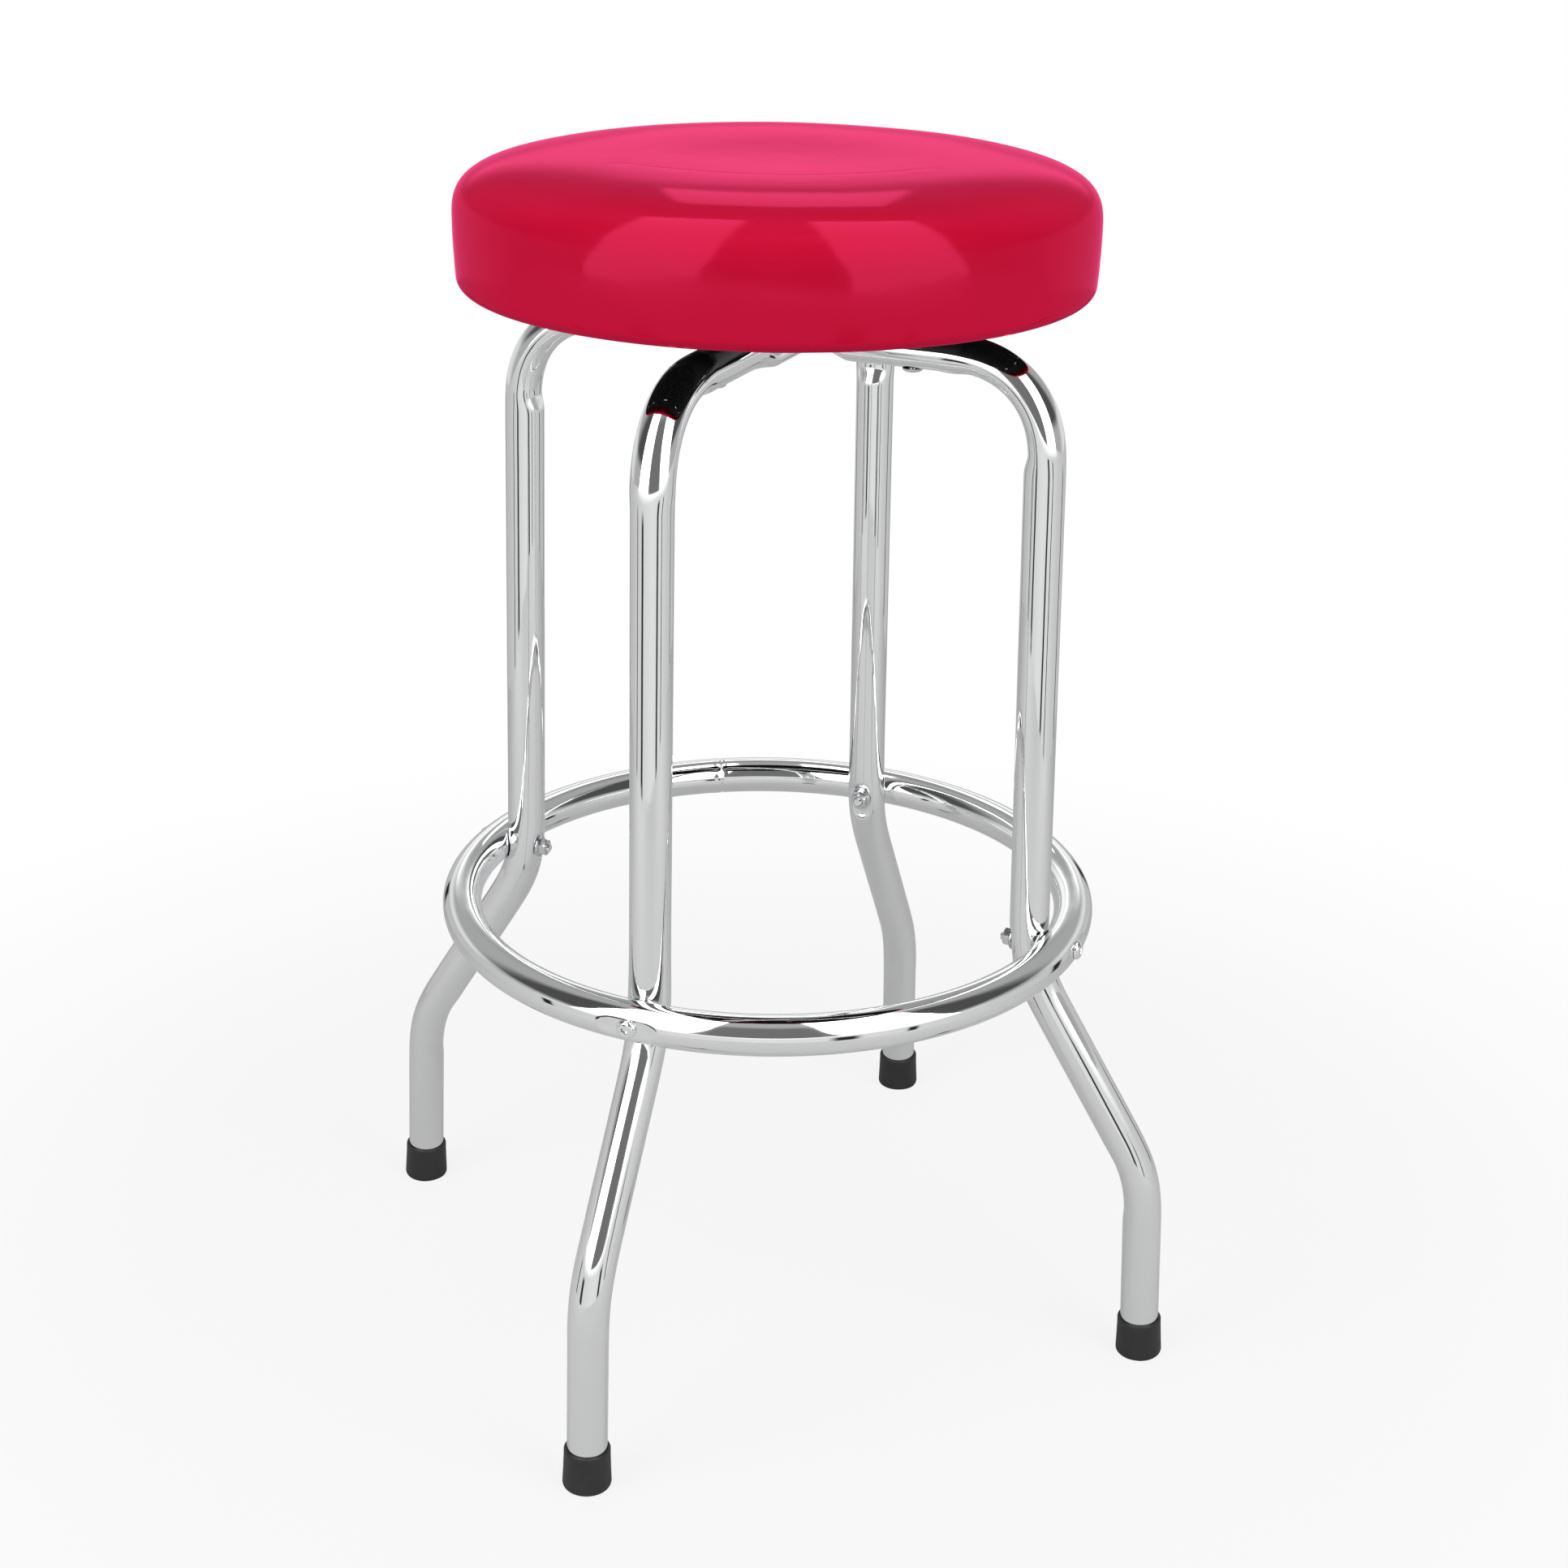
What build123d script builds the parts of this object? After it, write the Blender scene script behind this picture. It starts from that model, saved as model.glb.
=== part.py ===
from build123d import *
from build123d.topology import SkipClean
import math
import os

# Swivel bar stool: a padded round seat turns on a ball bearing plate that is
# bolted to two bent tube hoops, which a foot ring ties together.
# Millimetres, +Z up, origin on the floor under the seat's axis.

# Tubes
TUBE_OD = 24.0
RING_TUBE_OD = 24.0
TUBE_WALL = 1.2

# Leg centre line, as distances from the stool's axis and heights
LEG_AT_FLOOR = 262.0
LEG_AT_LOWER_BEND = 256.0
LEG_AT_UPPER_BEND = 173.8
LEG_AT_TOP = 165.2
LOWER_BEND_Z = 127.0
UPPER_BEND_Z = 257.5
FRAME_HEIGHT = 641.0
LOWER_BEND_RADIUS = 75.0
UPPER_BEND_RADIUS = 75.0
TOP_BEND_RADIUS = 53.0

# Flattened crossing of the two hoops
CROSSING_LENGTH = 52.0
CROSSING_BLEND = 24.0

# Foot ring and its joints to the legs
RING_ABOVE_BEND = 15.5
SADDLE_DEPTH = 4.4
SCREW_D = 6.0
SCREW_HEAD_D = 12.0
SCREW_HEAD_H = 3.3
SCREW_SOCKET = 4.0
SCREW_PAD_DEPTH = 1.5
SCREW_PAD_R = 10.0
NUT_FLATS = 10.0
NUT_H = 6.0
NUT_FLANGE_D = 14.2
NUT_FLANGE_H = 1.4
NUT_PAD_DEPTH = 2.4
NUT_PAD_R = 9.0
SCREW_STICK_OUT = 2.0

# Rubber feet
FOOT_H = 25.0
FOOT_FLOOR = 5.0
FOOT_TOP_WALL = 1.7
FOOT_FLARE = 0.8

# Swivel plates, bearing and pivot
PLATE_SIDE = 150.0
PLATE_THICKNESS = 2.5
PLATE_CORNER = 14.0
PLATE_GAP = 11.5
RACE_RADIUS = 45.0
RACE_WIDTH = 22.0
RACE_RISE = 3.0
BALL_D = 6.35
BALL_COUNT = 14
RETAINER_WIDTH = 10.0
RETAINER_THICKNESS = 1.2
PIVOT_D = 10.0
PIVOT_COLLAR_D = 16.0
PIVOT_COLLAR_H = 1.5
PIVOT_HEAD_D = 20.0
PIVOT_HEAD_H = 3.2
WASHER_D = 24.0
WASHER_H = 1.2

# Bolts from the hoops to the base plate
HOOP_BOLT_AT = 85.0
HOOP_BOLT_HEAD_D = 12.0
HOOP_BOLT_HEAD_H = 2.6
HOOP_BOLT_PAD_DEPTH = 1.8
HOOP_NUT_H = 5.0
HOOP_BOLT_STICK_OUT = 0.8

# Seat
SEAT_RADIUS = 184.0
SEAT_HEIGHT = 74.0
SEAT_CREST = 105.0
SEAT_DISH = 2.0
SHOULDER_ROUND = 20.0
SHOULDER_SLOPE = 13.0
BOTTOM_ROUND = 10.0
VINYL = 1.0
HEM_WIDTH = 34.0
BOARD_THICKNESS = 12.0
SIDE_FOAM = 9.0
BOARD_CENTRE_HOLE_D = 34.0
DUST_COVER = 0.6
DUST_COVER_BORE = 112.0
DUST_COVER_LAP = 20.0
SEAT_SCREW_AT = 82.0
SEAT_SCREW_HEAD_D = 11.0
SEAT_SCREW_HEAD_H = 3.2
TEE_FLANGE_D = 19.0
TEE_FLANGE_H = 1.2
TEE_BARREL_D = 8.0
TEE_BARREL_H = 9.0
STAPLE_COUNT = 24
STAPLE_CROWN = 9.0
STAPLE_WIRE_W = 1.0
STAPLE_WIRE_H = 0.7
STAPLE_LEG = 6.5

# Clearances
HOLE_CLEARANCE = 0.2
SEAT_ON_CLEARANCE = 0.1
RUNNING_CLEARANCE = 0.05
BALL_CLEARANCE = 0.15

# Heights and radii that follow
RUN_Z = FRAME_HEIGHT - TUBE_OD / 2
RING_Z = UPPER_BEND_Z + RING_ABOVE_BEND
LEG_LEAN = (LEG_AT_UPPER_BEND - LEG_AT_TOP) / (RUN_Z - UPPER_BEND_Z)
LEG_AT_RING = LEG_AT_UPPER_BEND - LEG_LEAN * RING_ABOVE_BEND
RING_RADIUS = LEG_AT_RING + TUBE_OD / 2 + RING_TUBE_OD / 2 - SADDLE_DEPTH
SCREW_SEAT = RING_RADIUS + RING_TUBE_OD / 2 - SCREW_PAD_DEPTH
NUT_SEAT = LEG_AT_RING - TUBE_OD / 2 + NUT_PAD_DEPTH
HOLE_R = SCREW_D / 2 + HOLE_CLEARANCE
HOOP_PAD_Z = FRAME_HEIGHT - TUBE_OD + HOOP_BOLT_PAD_DEPTH
BASE_PLATE_TOP = FRAME_HEIGHT + PLATE_THICKNESS
TOP_PLATE_BOTTOM = BASE_PLATE_TOP + PLATE_GAP
BOARD_BOTTOM = TOP_PLATE_BOTTOM + PLATE_THICKNESS
BOARD_TOP = BOARD_BOTTOM + BOARD_THICKNESS
BALL_Z = BASE_PLATE_TOP + PLATE_GAP / 2
SEAT_BOTTOM = BOARD_BOTTOM - VINYL
SEAT_TOP = BOARD_BOTTOM + SEAT_HEIGHT
BOARD_RADIUS = SEAT_RADIUS - VINYL - SIDE_FOAM
HEM_EDGE = SEAT_RADIUS - HEM_WIDTH
STAPLE_CIRCLE = HEM_EDGE + DUST_COVER_LAP / 2

# The legs' bearings about the stool's axis
LEG_ANGLES = {"front_right": 0.0, "back_right": 90.0, "back_left": 180.0, "front_left": 270.0}
PLATE_HOLE_ANGLES = [45.0, 135.0, 225.0, 315.0]
# Far enough to pass right through whatever is being cut
BEYOND = 40.0


def write(name, shape):
    """Write one sub-part to its own file."""
    export_step(shape, os.path.join("parts", name + ".step"))
    print(name, "volume", round(shape.volume, 1))


def around(angle, shape):
    """Turn a piece about the stool's axis."""
    return Rot(0, 0, angle) * shape


def upright(radius, low, high, at=0.0):
    """A vertical cylinder between two heights, at a distance along +X."""
    return Pos(at, 0, (low + high) / 2) * Cylinder(radius, high - low)


def radial(radius, inner, outer):
    """A cylinder along +X at the foot ring's height, between two distances from the axis."""
    return Pos((inner + outer) / 2, 0, RING_Z) * Rot(0, 90, 0) * Cylinder(radius, outer - inner)


def spun(outline):
    """Revolve a closed outline of (distance, height) edges about the stool's axis."""
    return revolve(make_face(outline), Axis.Z)


def at(distance, height):
    """A point of an upright outline."""
    return (distance, 0, height)


# Hoops

def leg_path():
    """Centre line of one leg, from inside its rubber foot to the start of the crossing."""
    rise = FOOT_FLOOR / LOWER_BEND_Z
    foot_x = LEG_AT_FLOOR + (LEG_AT_LOWER_BEND - LEG_AT_FLOOR) * rise
    return FilletPolyline(
        at(foot_x, FOOT_FLOOR),
        at(LEG_AT_LOWER_BEND, LOWER_BEND_Z),
        at(LEG_AT_UPPER_BEND, UPPER_BEND_Z),
        at(LEG_AT_TOP, RUN_Z),
        at(CROSSING_LENGTH / 2 + CROSSING_BLEND, RUN_Z),
        radius=[LOWER_BEND_RADIUS, UPPER_BEND_RADIUS, TOP_BEND_RADIUS],
    )


def round_section(x, radius):
    """Round tube section across X, as six arcs that match the flat section's edges."""
    lean = math.radians(25)
    half = radius * math.sin(lean)
    top = radius * math.cos(lean)
    mid_y = radius * math.cos((math.pi / 2 - lean) / 2)
    mid_z = radius * math.sin((math.pi / 2 - lean) / 2)
    return section(x, RUN_Z, half, top, radius, mid_y, mid_z, radius)


def flat_section(x, width, height, centre_z):
    """Flattened tube section across X, with flat faces above and below."""
    end = height / 2
    half = width / 2 - end
    mid = end * math.sqrt(0.5)
    return section(x, centre_z, half, end, width / 2, half + mid, mid, end)


def section(x, centre_z, half, top, side, mid_y, mid_z, crown):
    """A closed section of six edges: two across, above and below, and two each side."""
    def p(y, z):
        return (x, y, centre_z + z)

    def across(sign):
        if crown > top:
            return ThreePointArc(p(-half, sign * top), p(0, sign * crown), p(half, sign * top))
        return Line(p(-half, sign * top), p(half, sign * top))

    edges = [across(1), across(-1)]
    for y_sign in (1, -1):
        for z_sign in (1, -1):
            edges.append(ThreePointArc(
                p(y_sign * half, z_sign * top),
                p(y_sign * mid_y, z_sign * mid_z),
                p(y_sign * side, 0),
            ))
    return make_face(edges)


def hoop_rod(radius, flat_height, flat_centre_z):
    """A solid hoop along X of the given tube radius, flattened where the hoops cross."""
    path = leg_path()
    start = Plane(origin=path @ 0, z_dir=path % 0)
    leg = sweep(start * Circle(radius), path=path)
    flat_width = flat_height + math.pi * (2 * radius - flat_height) / 2
    near = CROSSING_LENGTH / 2
    far = near + CROSSING_BLEND
    blend = loft(
        [round_section(far, radius), flat_section(near, flat_width, flat_height, flat_centre_z)],
        ruled=True,
    )
    middle = loft(
        [
            flat_section(near, flat_width, flat_height, flat_centre_z),
            flat_section(-near, flat_width, flat_height, flat_centre_z),
        ],
        ruled=True,
    )
    return leg + around(180, leg) + blend + around(180, blend) + middle


def press_joints(rod, inset):
    """Press the ring's saddles, the nuts' pads and the bolts' pads into a hoop along X."""
    groove = SEAT_ON_CLEARANCE + inset
    rod -= Pos(0, 0, RING_Z) * Torus(RING_RADIUS, RING_TUBE_OD / 2 + groove)
    nut_pad = radial(NUT_PAD_R + inset, NUT_SEAT - BEYOND, NUT_SEAT + inset)
    low = FRAME_HEIGHT - TUBE_OD - BEYOND
    bolt_pad = upright(HOOP_BOLT_HEAD_D / 2 + 1 + inset, low, HOOP_PAD_Z + inset, HOOP_BOLT_AT)
    for angle in (0, 180):
        rod -= around(angle, nut_pad)
        rod -= around(angle, bolt_pad)
    return rod


def hoop(on_top):
    """One hoop of tube along X, lying on top of or under the other at the crossing."""
    flat = TUBE_OD / 2
    centre_z = RUN_Z + flat / 2 if on_top else RUN_Z - flat / 2
    outside = press_joints(hoop_rod(TUBE_OD / 2, flat, centre_z), 0.0)
    inside = press_joints(
        hoop_rod(TUBE_OD / 2 - TUBE_WALL, flat - 2 * TUBE_WALL, centre_z), TUBE_WALL
    )
    tube = outside - inside
    ring_hole = radial(HOLE_R, NUT_SEAT - BEYOND, SCREW_SEAT + BEYOND)
    bolt_hole = upright(HOLE_R, RUN_Z - BEYOND, RUN_Z + BEYOND, HOOP_BOLT_AT)
    for angle in (0, 180):
        tube -= around(angle, ring_hole)
        tube -= around(angle, bolt_hole)
    return tube


def hoop_bolt():
    """Dome-headed bolt up through a hoop and the base plate."""
    head_r = HOOP_BOLT_HEAD_D / 2
    low = HOOP_PAD_Z - HOOP_BOLT_HEAD_H
    dome = spun([
        ThreePointArc(
            at(0, low),
            at(head_r * math.sqrt(0.5), HOOP_PAD_Z - HOOP_BOLT_HEAD_H * math.sqrt(0.5)),
            at(head_r, HOOP_PAD_Z),
        ),
        Line(at(head_r, HOOP_PAD_Z), at(0, HOOP_PAD_Z)),
        Line(at(0, HOOP_PAD_Z), at(0, low)),
    ])
    tip = BASE_PLATE_TOP + HOOP_NUT_H + HOOP_BOLT_STICK_OUT
    return Pos(HOOP_BOLT_AT, 0, 0) * (dome + upright(SCREW_D / 2, HOOP_PAD_Z, tip))


def hoop_nut():
    """Plain hexagon nut on the base plate."""
    prism = Pos(0, 0, BASE_PLATE_TOP) * extrude(
        RegularPolygon(NUT_FLATS / 2, 6, major_radius=False), HOOP_NUT_H
    )
    bore = upright(SCREW_D / 2 + RUNNING_CLEARANCE, BASE_PLATE_TOP - 1, BASE_PLATE_TOP + HOOP_NUT_H + 1)
    return Pos(HOOP_BOLT_AT, 0, 0) * (prism - bore)


# Foot ring and its fasteners

def ring_quarter(radius):
    """A quarter of a solid ring, centred on +X."""
    middle = Plane(origin=(RING_RADIUS, 0, RING_Z), x_dir=(0, 0, 1), z_dir=(0, -1, 0))
    return around(-45, revolve(middle * Circle(radius), Axis.Z, 90))


def foot_ring():
    """Bent and butt-welded tube ring, with a flat pressed at each screw."""
    outside = ring_quarter(RING_TUBE_OD / 2)
    inside = ring_quarter(RING_TUBE_OD / 2 - TUBE_WALL)
    outside -= radial(SCREW_PAD_R, SCREW_SEAT, SCREW_SEAT + BEYOND)
    inside -= radial(SCREW_PAD_R + TUBE_WALL, SCREW_SEAT - TUBE_WALL, SCREW_SEAT + BEYOND)
    quarter = outside - inside - radial(HOLE_R, RING_RADIUS - BEYOND, RING_RADIUS + BEYOND)
    ring = quarter
    # The quarters' seams are kept, because a face that closes on itself is fragile.
    with SkipClean():
        for angle in (90, 180, 270):
            ring += around(angle, quarter)
    return ring


def along_radius(distance, shape):
    """Put a piece made on +Z so that its +Z points outwards along +X at the ring's height."""
    return Pos(distance, 0, RING_Z) * Rot(0, 90, 0) * shape


def ring_screw():
    """Button-head screw with a hexagon socket, from the ring's outside to the nut."""
    head_r = SCREW_HEAD_D / 2
    rim = SCREW_HEAD_H * 0.25
    flat = head_r * 0.5
    head = spun([
        Line(at(0, 0), at(head_r, 0)),
        Line(at(head_r, 0), at(head_r, rim)),
        ThreePointArc(
            at(head_r, rim),
            at((head_r + flat) / 2 + rim / 2, (SCREW_HEAD_H + rim) / 2 + rim / 2),
            at(flat, SCREW_HEAD_H),
        ),
        Line(at(flat, SCREW_HEAD_H), at(0, SCREW_HEAD_H)),
        Line(at(0, SCREW_HEAD_H), at(0, 0)),
    ])
    socket_depth = SCREW_HEAD_H * 0.6
    socket = Pos(0, 0, SCREW_HEAD_H - socket_depth) * extrude(
        RegularPolygon(SCREW_SOCKET / 2, 6, major_radius=False), SCREW_HEAD_H
    )
    length = SCREW_SEAT - NUT_SEAT + NUT_H + SCREW_STICK_OUT
    shank = Pos(0, 0, -length / 2) * Cylinder(SCREW_D / 2, length)
    return along_radius(SCREW_SEAT, head - socket + shank)


def ring_nut():
    """Flanged hexagon nut against the leg's inside."""
    flange = Pos(0, 0, -NUT_FLANGE_H / 2) * Cylinder(NUT_FLANGE_D / 2, NUT_FLANGE_H)
    prism = Pos(0, 0, -NUT_H) * extrude(RegularPolygon(NUT_FLATS / 2, 6, major_radius=False), NUT_H)
    bore = Cylinder(SCREW_D / 2 + RUNNING_CLEARANCE, 4 * NUT_H)
    return along_radius(NUT_SEAT, flange + prism - bore)


# Feet

def rubber_foot():
    """Tapered rubber cup on the tube's end, cut flat where it stands on the floor."""
    inner = TUBE_OD / 2 + RUNNING_CLEARANCE
    top = inner + FOOT_TOP_WALL
    base = top + FOOT_FLARE
    cup = spun([
        Line(at(0, -FOOT_FLOOR), at(base, -FOOT_FLOOR)),
        Line(at(base, -FOOT_FLOOR), at(base, 0)),
        Line(at(base, 0), at(top, FOOT_H)),
        Line(at(top, FOOT_H), at(inner, FOOT_H)),
        Line(at(inner, FOOT_H), at(inner, FOOT_FLOOR)),
        Line(at(inner, FOOT_FLOOR), at(0, FOOT_FLOOR)),
        Line(at(0, FOOT_FLOOR), at(0, -FOOT_FLOOR)),
    ])
    lean = math.degrees(math.atan2(LEG_AT_LOWER_BEND - LEG_AT_FLOOR, LOWER_BEND_Z))
    standing = Pos(LEG_AT_FLOOR, 0, 0) * Rot(0, lean, 0) * cup
    below = Pos(LEG_AT_FLOOR, 0, -BEYOND / 2) * Box(2 * BEYOND, 2 * BEYOND, BEYOND)
    return standing - below


# Swivel

def race_groove():
    """The balls' track, grown by the clearance that they run with."""
    return Pos(0, 0, BALL_Z) * Torus(RACE_RADIUS, BALL_D / 2 + BALL_CLEARANCE)


def pressed_plate(low, race_up):
    """Square plate with a pressed ring that carries the ball track on one side."""
    plate = Pos(0, 0, low) * extrude(RectangleRounded(PLATE_SIDE, PLATE_SIDE, PLATE_CORNER), PLATE_THICKNESS)
    rise = RACE_RISE if race_up else -RACE_RISE
    inner = RACE_RADIUS - RACE_WIDTH / 2
    outer = RACE_RADIUS + RACE_WIDTH / 2
    # The pressed ring is as thick as the sheet, so its hollow side follows it.
    raised = upright(outer, low + min(rise, 0), low + PLATE_THICKNESS + max(rise, 0))
    raised -= upright(inner, low - BEYOND, low + BEYOND)
    hollow_low, hollow_high = (low, low + rise) if race_up else (
        low + PLATE_THICKNESS + rise, low + PLATE_THICKNESS
    )
    hollow = upright(outer - PLATE_THICKNESS, hollow_low, hollow_high)
    hollow -= upright(inner + PLATE_THICKNESS, low - BEYOND, low + BEYOND)
    return plate + raised - hollow - race_groove()


def base_plate():
    """Lower swivel plate, with its corners and bolts over the hoops."""
    plate = around(45, pressed_plate(FRAME_HEIGHT, True))
    plate -= upright(PIVOT_D / 2 + RUNNING_CLEARANCE, FRAME_HEIGHT - 1, BASE_PLATE_TOP + 1)
    hole = upright(HOLE_R, FRAME_HEIGHT - 1, BASE_PLATE_TOP + 1, HOOP_BOLT_AT)
    for angle in LEG_ANGLES.values():
        plate -= around(angle, hole)
    return plate


def top_plate():
    """Upper swivel plate, turned so that its screws can be reached from below."""
    plate = pressed_plate(TOP_PLATE_BOTTOM, False)
    plate -= upright(PIVOT_D / 2 + RUNNING_CLEARANCE, TOP_PLATE_BOTTOM - 1, BOARD_BOTTOM + 1)
    hole = upright(HOLE_R, TOP_PLATE_BOTTOM - 1, BOARD_BOTTOM + 1, SEAT_SCREW_AT)
    for angle in PLATE_HOLE_ANGLES:
        plate -= around(angle, hole)
    return plate


def pivot():
    """Rivet fixed in the base plate, whose head holds the top plate down."""
    collar = upright(PIVOT_COLLAR_D / 2, BASE_PLATE_TOP, BASE_PLATE_TOP + PIVOT_COLLAR_H)
    head_low = BOARD_BOTTOM + SEAT_ON_CLEARANCE + WASHER_H
    head = upright(PIVOT_HEAD_D / 2, head_low, head_low + PIVOT_HEAD_H)
    return upright(PIVOT_D / 2, FRAME_HEIGHT, head_low) + collar + head


def washer():
    """Flat washer under the pivot's head."""
    low = BOARD_BOTTOM + SEAT_ON_CLEARANCE
    ring = upright(WASHER_D / 2, low, low + WASHER_H)
    return ring - upright(PIVOT_D / 2 + RUNNING_CLEARANCE, low - 1, low + WASHER_H + 1)


def balls():
    """The bearing's balls, spread evenly round the track."""
    ball = Pos(RACE_RADIUS, 0, BALL_Z) * Sphere(BALL_D / 2)
    return Compound([around(k * 360 / BALL_COUNT, ball).solid() for k in range(BALL_COUNT)])


def retainer():
    """Flat ring that keeps the balls apart."""
    low = BALL_Z - RETAINER_THICKNESS / 2
    high = BALL_Z + RETAINER_THICKNESS / 2
    ring = upright(RACE_RADIUS + RETAINER_WIDTH / 2, low, high)
    ring -= upright(RACE_RADIUS - RETAINER_WIDTH / 2, low - 1, high + 1)
    pocket = upright(BALL_D / 2 + BALL_CLEARANCE, low - 1, high + 1, RACE_RADIUS)
    for k in range(BALL_COUNT):
        ring -= around(k * 360 / BALL_COUNT, pocket)
    return ring


# Seat

def seat_line(inset):
    """The padded seat's outline from the centre of its top to the hem, moved in by inset."""
    slope = math.radians(SHOULDER_SLOPE)
    shoulder_x = SEAT_RADIUS - SHOULDER_ROUND
    crown = (shoulder_x + SHOULDER_ROUND * math.sin(slope) - SEAT_CREST) / math.sin(slope)
    crown_z = SEAT_TOP - crown
    shoulder_z = crown_z + (crown - SHOULDER_ROUND) * math.cos(slope)
    base_x = SEAT_RADIUS - BOTTOM_ROUND
    base_z = SEAT_BOTTOM + BOTTOM_ROUND
    side = SEAT_RADIUS - inset

    def on_arc(x, z, radius, degrees):
        turn = math.radians(degrees)
        return at(x + (radius - inset) * math.sin(turn), z + (radius - inset) * math.cos(turn))

    middle = at(0, SEAT_TOP - SEAT_DISH - inset)
    dish_mid = at(SEAT_CREST / 2, SEAT_TOP - SEAT_DISH * 0.75 - inset)
    crest = on_arc(SEAT_CREST, crown_z, crown, 0)
    crown_mid = on_arc(SEAT_CREST, crown_z, crown, SHOULDER_SLOPE / 2)
    crown_end = on_arc(SEAT_CREST, crown_z, crown, SHOULDER_SLOPE)
    shoulder_mid = on_arc(shoulder_x, shoulder_z, SHOULDER_ROUND, (SHOULDER_SLOPE + 90) / 2)
    shoulder_end = at(side, shoulder_z)
    base_start = at(side, base_z)
    base_mid = on_arc(base_x, base_z, BOTTOM_ROUND, 135)
    base_end = at(base_x, SEAT_BOTTOM + inset)
    hem = at(HEM_EDGE, SEAT_BOTTOM + inset)
    edges = [
        ThreePointArc(middle, dish_mid, crest),
        ThreePointArc(crest, crown_mid, crown_end),
        ThreePointArc(crown_end, shoulder_mid, shoulder_end),
        Line(shoulder_end, base_start),
        ThreePointArc(base_start, base_mid, base_end),
        Line(base_end, hem),
    ]
    return edges, middle, hem


def seat_cover():
    """Vinyl skin, drawn over the foam and turned in under the board as a hem."""
    outer, outer_middle, outer_hem = seat_line(0.0)
    inner, inner_middle, inner_hem = seat_line(VINYL)
    return spun(outer + inner + [Line(outer_middle, inner_middle), Line(outer_hem, inner_hem)])


def seat_foam():
    """Moulded foam on and round the board."""
    edges, middle, hem = seat_line(VINYL)
    corner = at(0, hem[2])
    foam = spun(edges + [Line(hem, corner), Line(corner, middle)])
    foam -= upright(BOARD_RADIUS, BOARD_BOTTOM - 1, BOARD_TOP)
    pocket = upright(
        TEE_FLANGE_D / 2 + HOLE_CLEARANCE, BOARD_TOP - 1, BOARD_TOP + TEE_FLANGE_H + HOLE_CLEARANCE, SEAT_SCREW_AT
    )
    for angle in PLATE_HOLE_ANGLES:
        foam -= around(angle, pocket)
    return foam


def seat_board():
    """Round plywood board, bored for the pivot's head and the tee nuts."""
    board = upright(BOARD_RADIUS, BOARD_BOTTOM, BOARD_TOP)
    board -= upright(BOARD_CENTRE_HOLE_D / 2, BOARD_BOTTOM - 1, BOARD_TOP + 1)
    hole = upright(TEE_BARREL_D / 2 + RUNNING_CLEARANCE, BOARD_BOTTOM - 1, BOARD_TOP + 1, SEAT_SCREW_AT)
    for angle in PLATE_HOLE_ANGLES:
        board -= around(angle, hole)
    return board


def dust_cover():
    """Thin black cloth ring that lies on the board and laps over the hem."""
    lap_edge = HEM_EDGE + DUST_COVER_LAP
    step = at(HEM_EDGE - 4 * VINYL, BOARD_BOTTOM)
    step_low = at(HEM_EDGE, SEAT_BOTTOM)
    outline = [
        at(DUST_COVER_BORE, BOARD_BOTTOM),
        step,
        step_low,
        at(lap_edge, SEAT_BOTTOM),
        at(lap_edge, SEAT_BOTTOM - DUST_COVER),
        at(step_low[0], SEAT_BOTTOM - DUST_COVER),
        at(step[0], BOARD_BOTTOM - DUST_COVER),
        at(DUST_COVER_BORE, BOARD_BOTTOM - DUST_COVER),
    ]
    return spun([Polyline(*outline, close=True)])


def staple():
    """Staple through the dust cover and the hem into the board."""
    low = SEAT_BOTTOM - DUST_COVER - STAPLE_WIRE_H
    crown = Box(STAPLE_WIRE_W, STAPLE_CROWN, STAPLE_WIRE_H, align=(Align.CENTER, Align.CENTER, Align.MIN))
    leg = Box(STAPLE_WIRE_W, STAPLE_WIRE_H, STAPLE_LEG, align=(Align.CENTER, Align.MIN, Align.MIN))
    left = Pos(0, -STAPLE_CROWN / 2, 0) * leg
    right = Pos(0, STAPLE_CROWN / 2 - STAPLE_WIRE_H, 0) * leg
    return Pos(STAPLE_CIRCLE, 0, low) * (crown + left + right)


def seat_screw():
    """Pan-head screw up through the top plate into a tee nut."""
    head_low = TOP_PLATE_BOTTOM - SEAT_SCREW_HEAD_H
    head = upright(SEAT_SCREW_HEAD_D / 2, head_low, TOP_PLATE_BOTTOM)
    top_edge = head.edges().filter_by(GeomType.CIRCLE).sort_by(Axis.Z)[0]
    head = fillet(top_edge, SEAT_SCREW_HEAD_H / 2)
    shank = upright(SCREW_D / 2, TOP_PLATE_BOTTOM, BOARD_TOP)
    return Pos(SEAT_SCREW_AT, 0, 0) * (head + shank)


def tee_nut():
    """Tee nut let into the board from above."""
    flange = upright(TEE_FLANGE_D / 2, BOARD_TOP, BOARD_TOP + TEE_FLANGE_H)
    barrel = upright(TEE_BARREL_D / 2, BOARD_TOP - TEE_BARREL_H, BOARD_TOP)
    bore = upright(SCREW_D / 2 + RUNNING_CLEARANCE, BOARD_BOTTOM, BOARD_TOP + BEYOND)
    return Pos(SEAT_SCREW_AT, 0, 0) * (flange + barrel - bore)


def group(angles, piece):
    """Copies of a piece about the stool's axis, as separate solids of one sub-part."""
    return Compound([around(angle, piece).solid() for angle in angles])


os.makedirs("parts", exist_ok=True)

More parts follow.
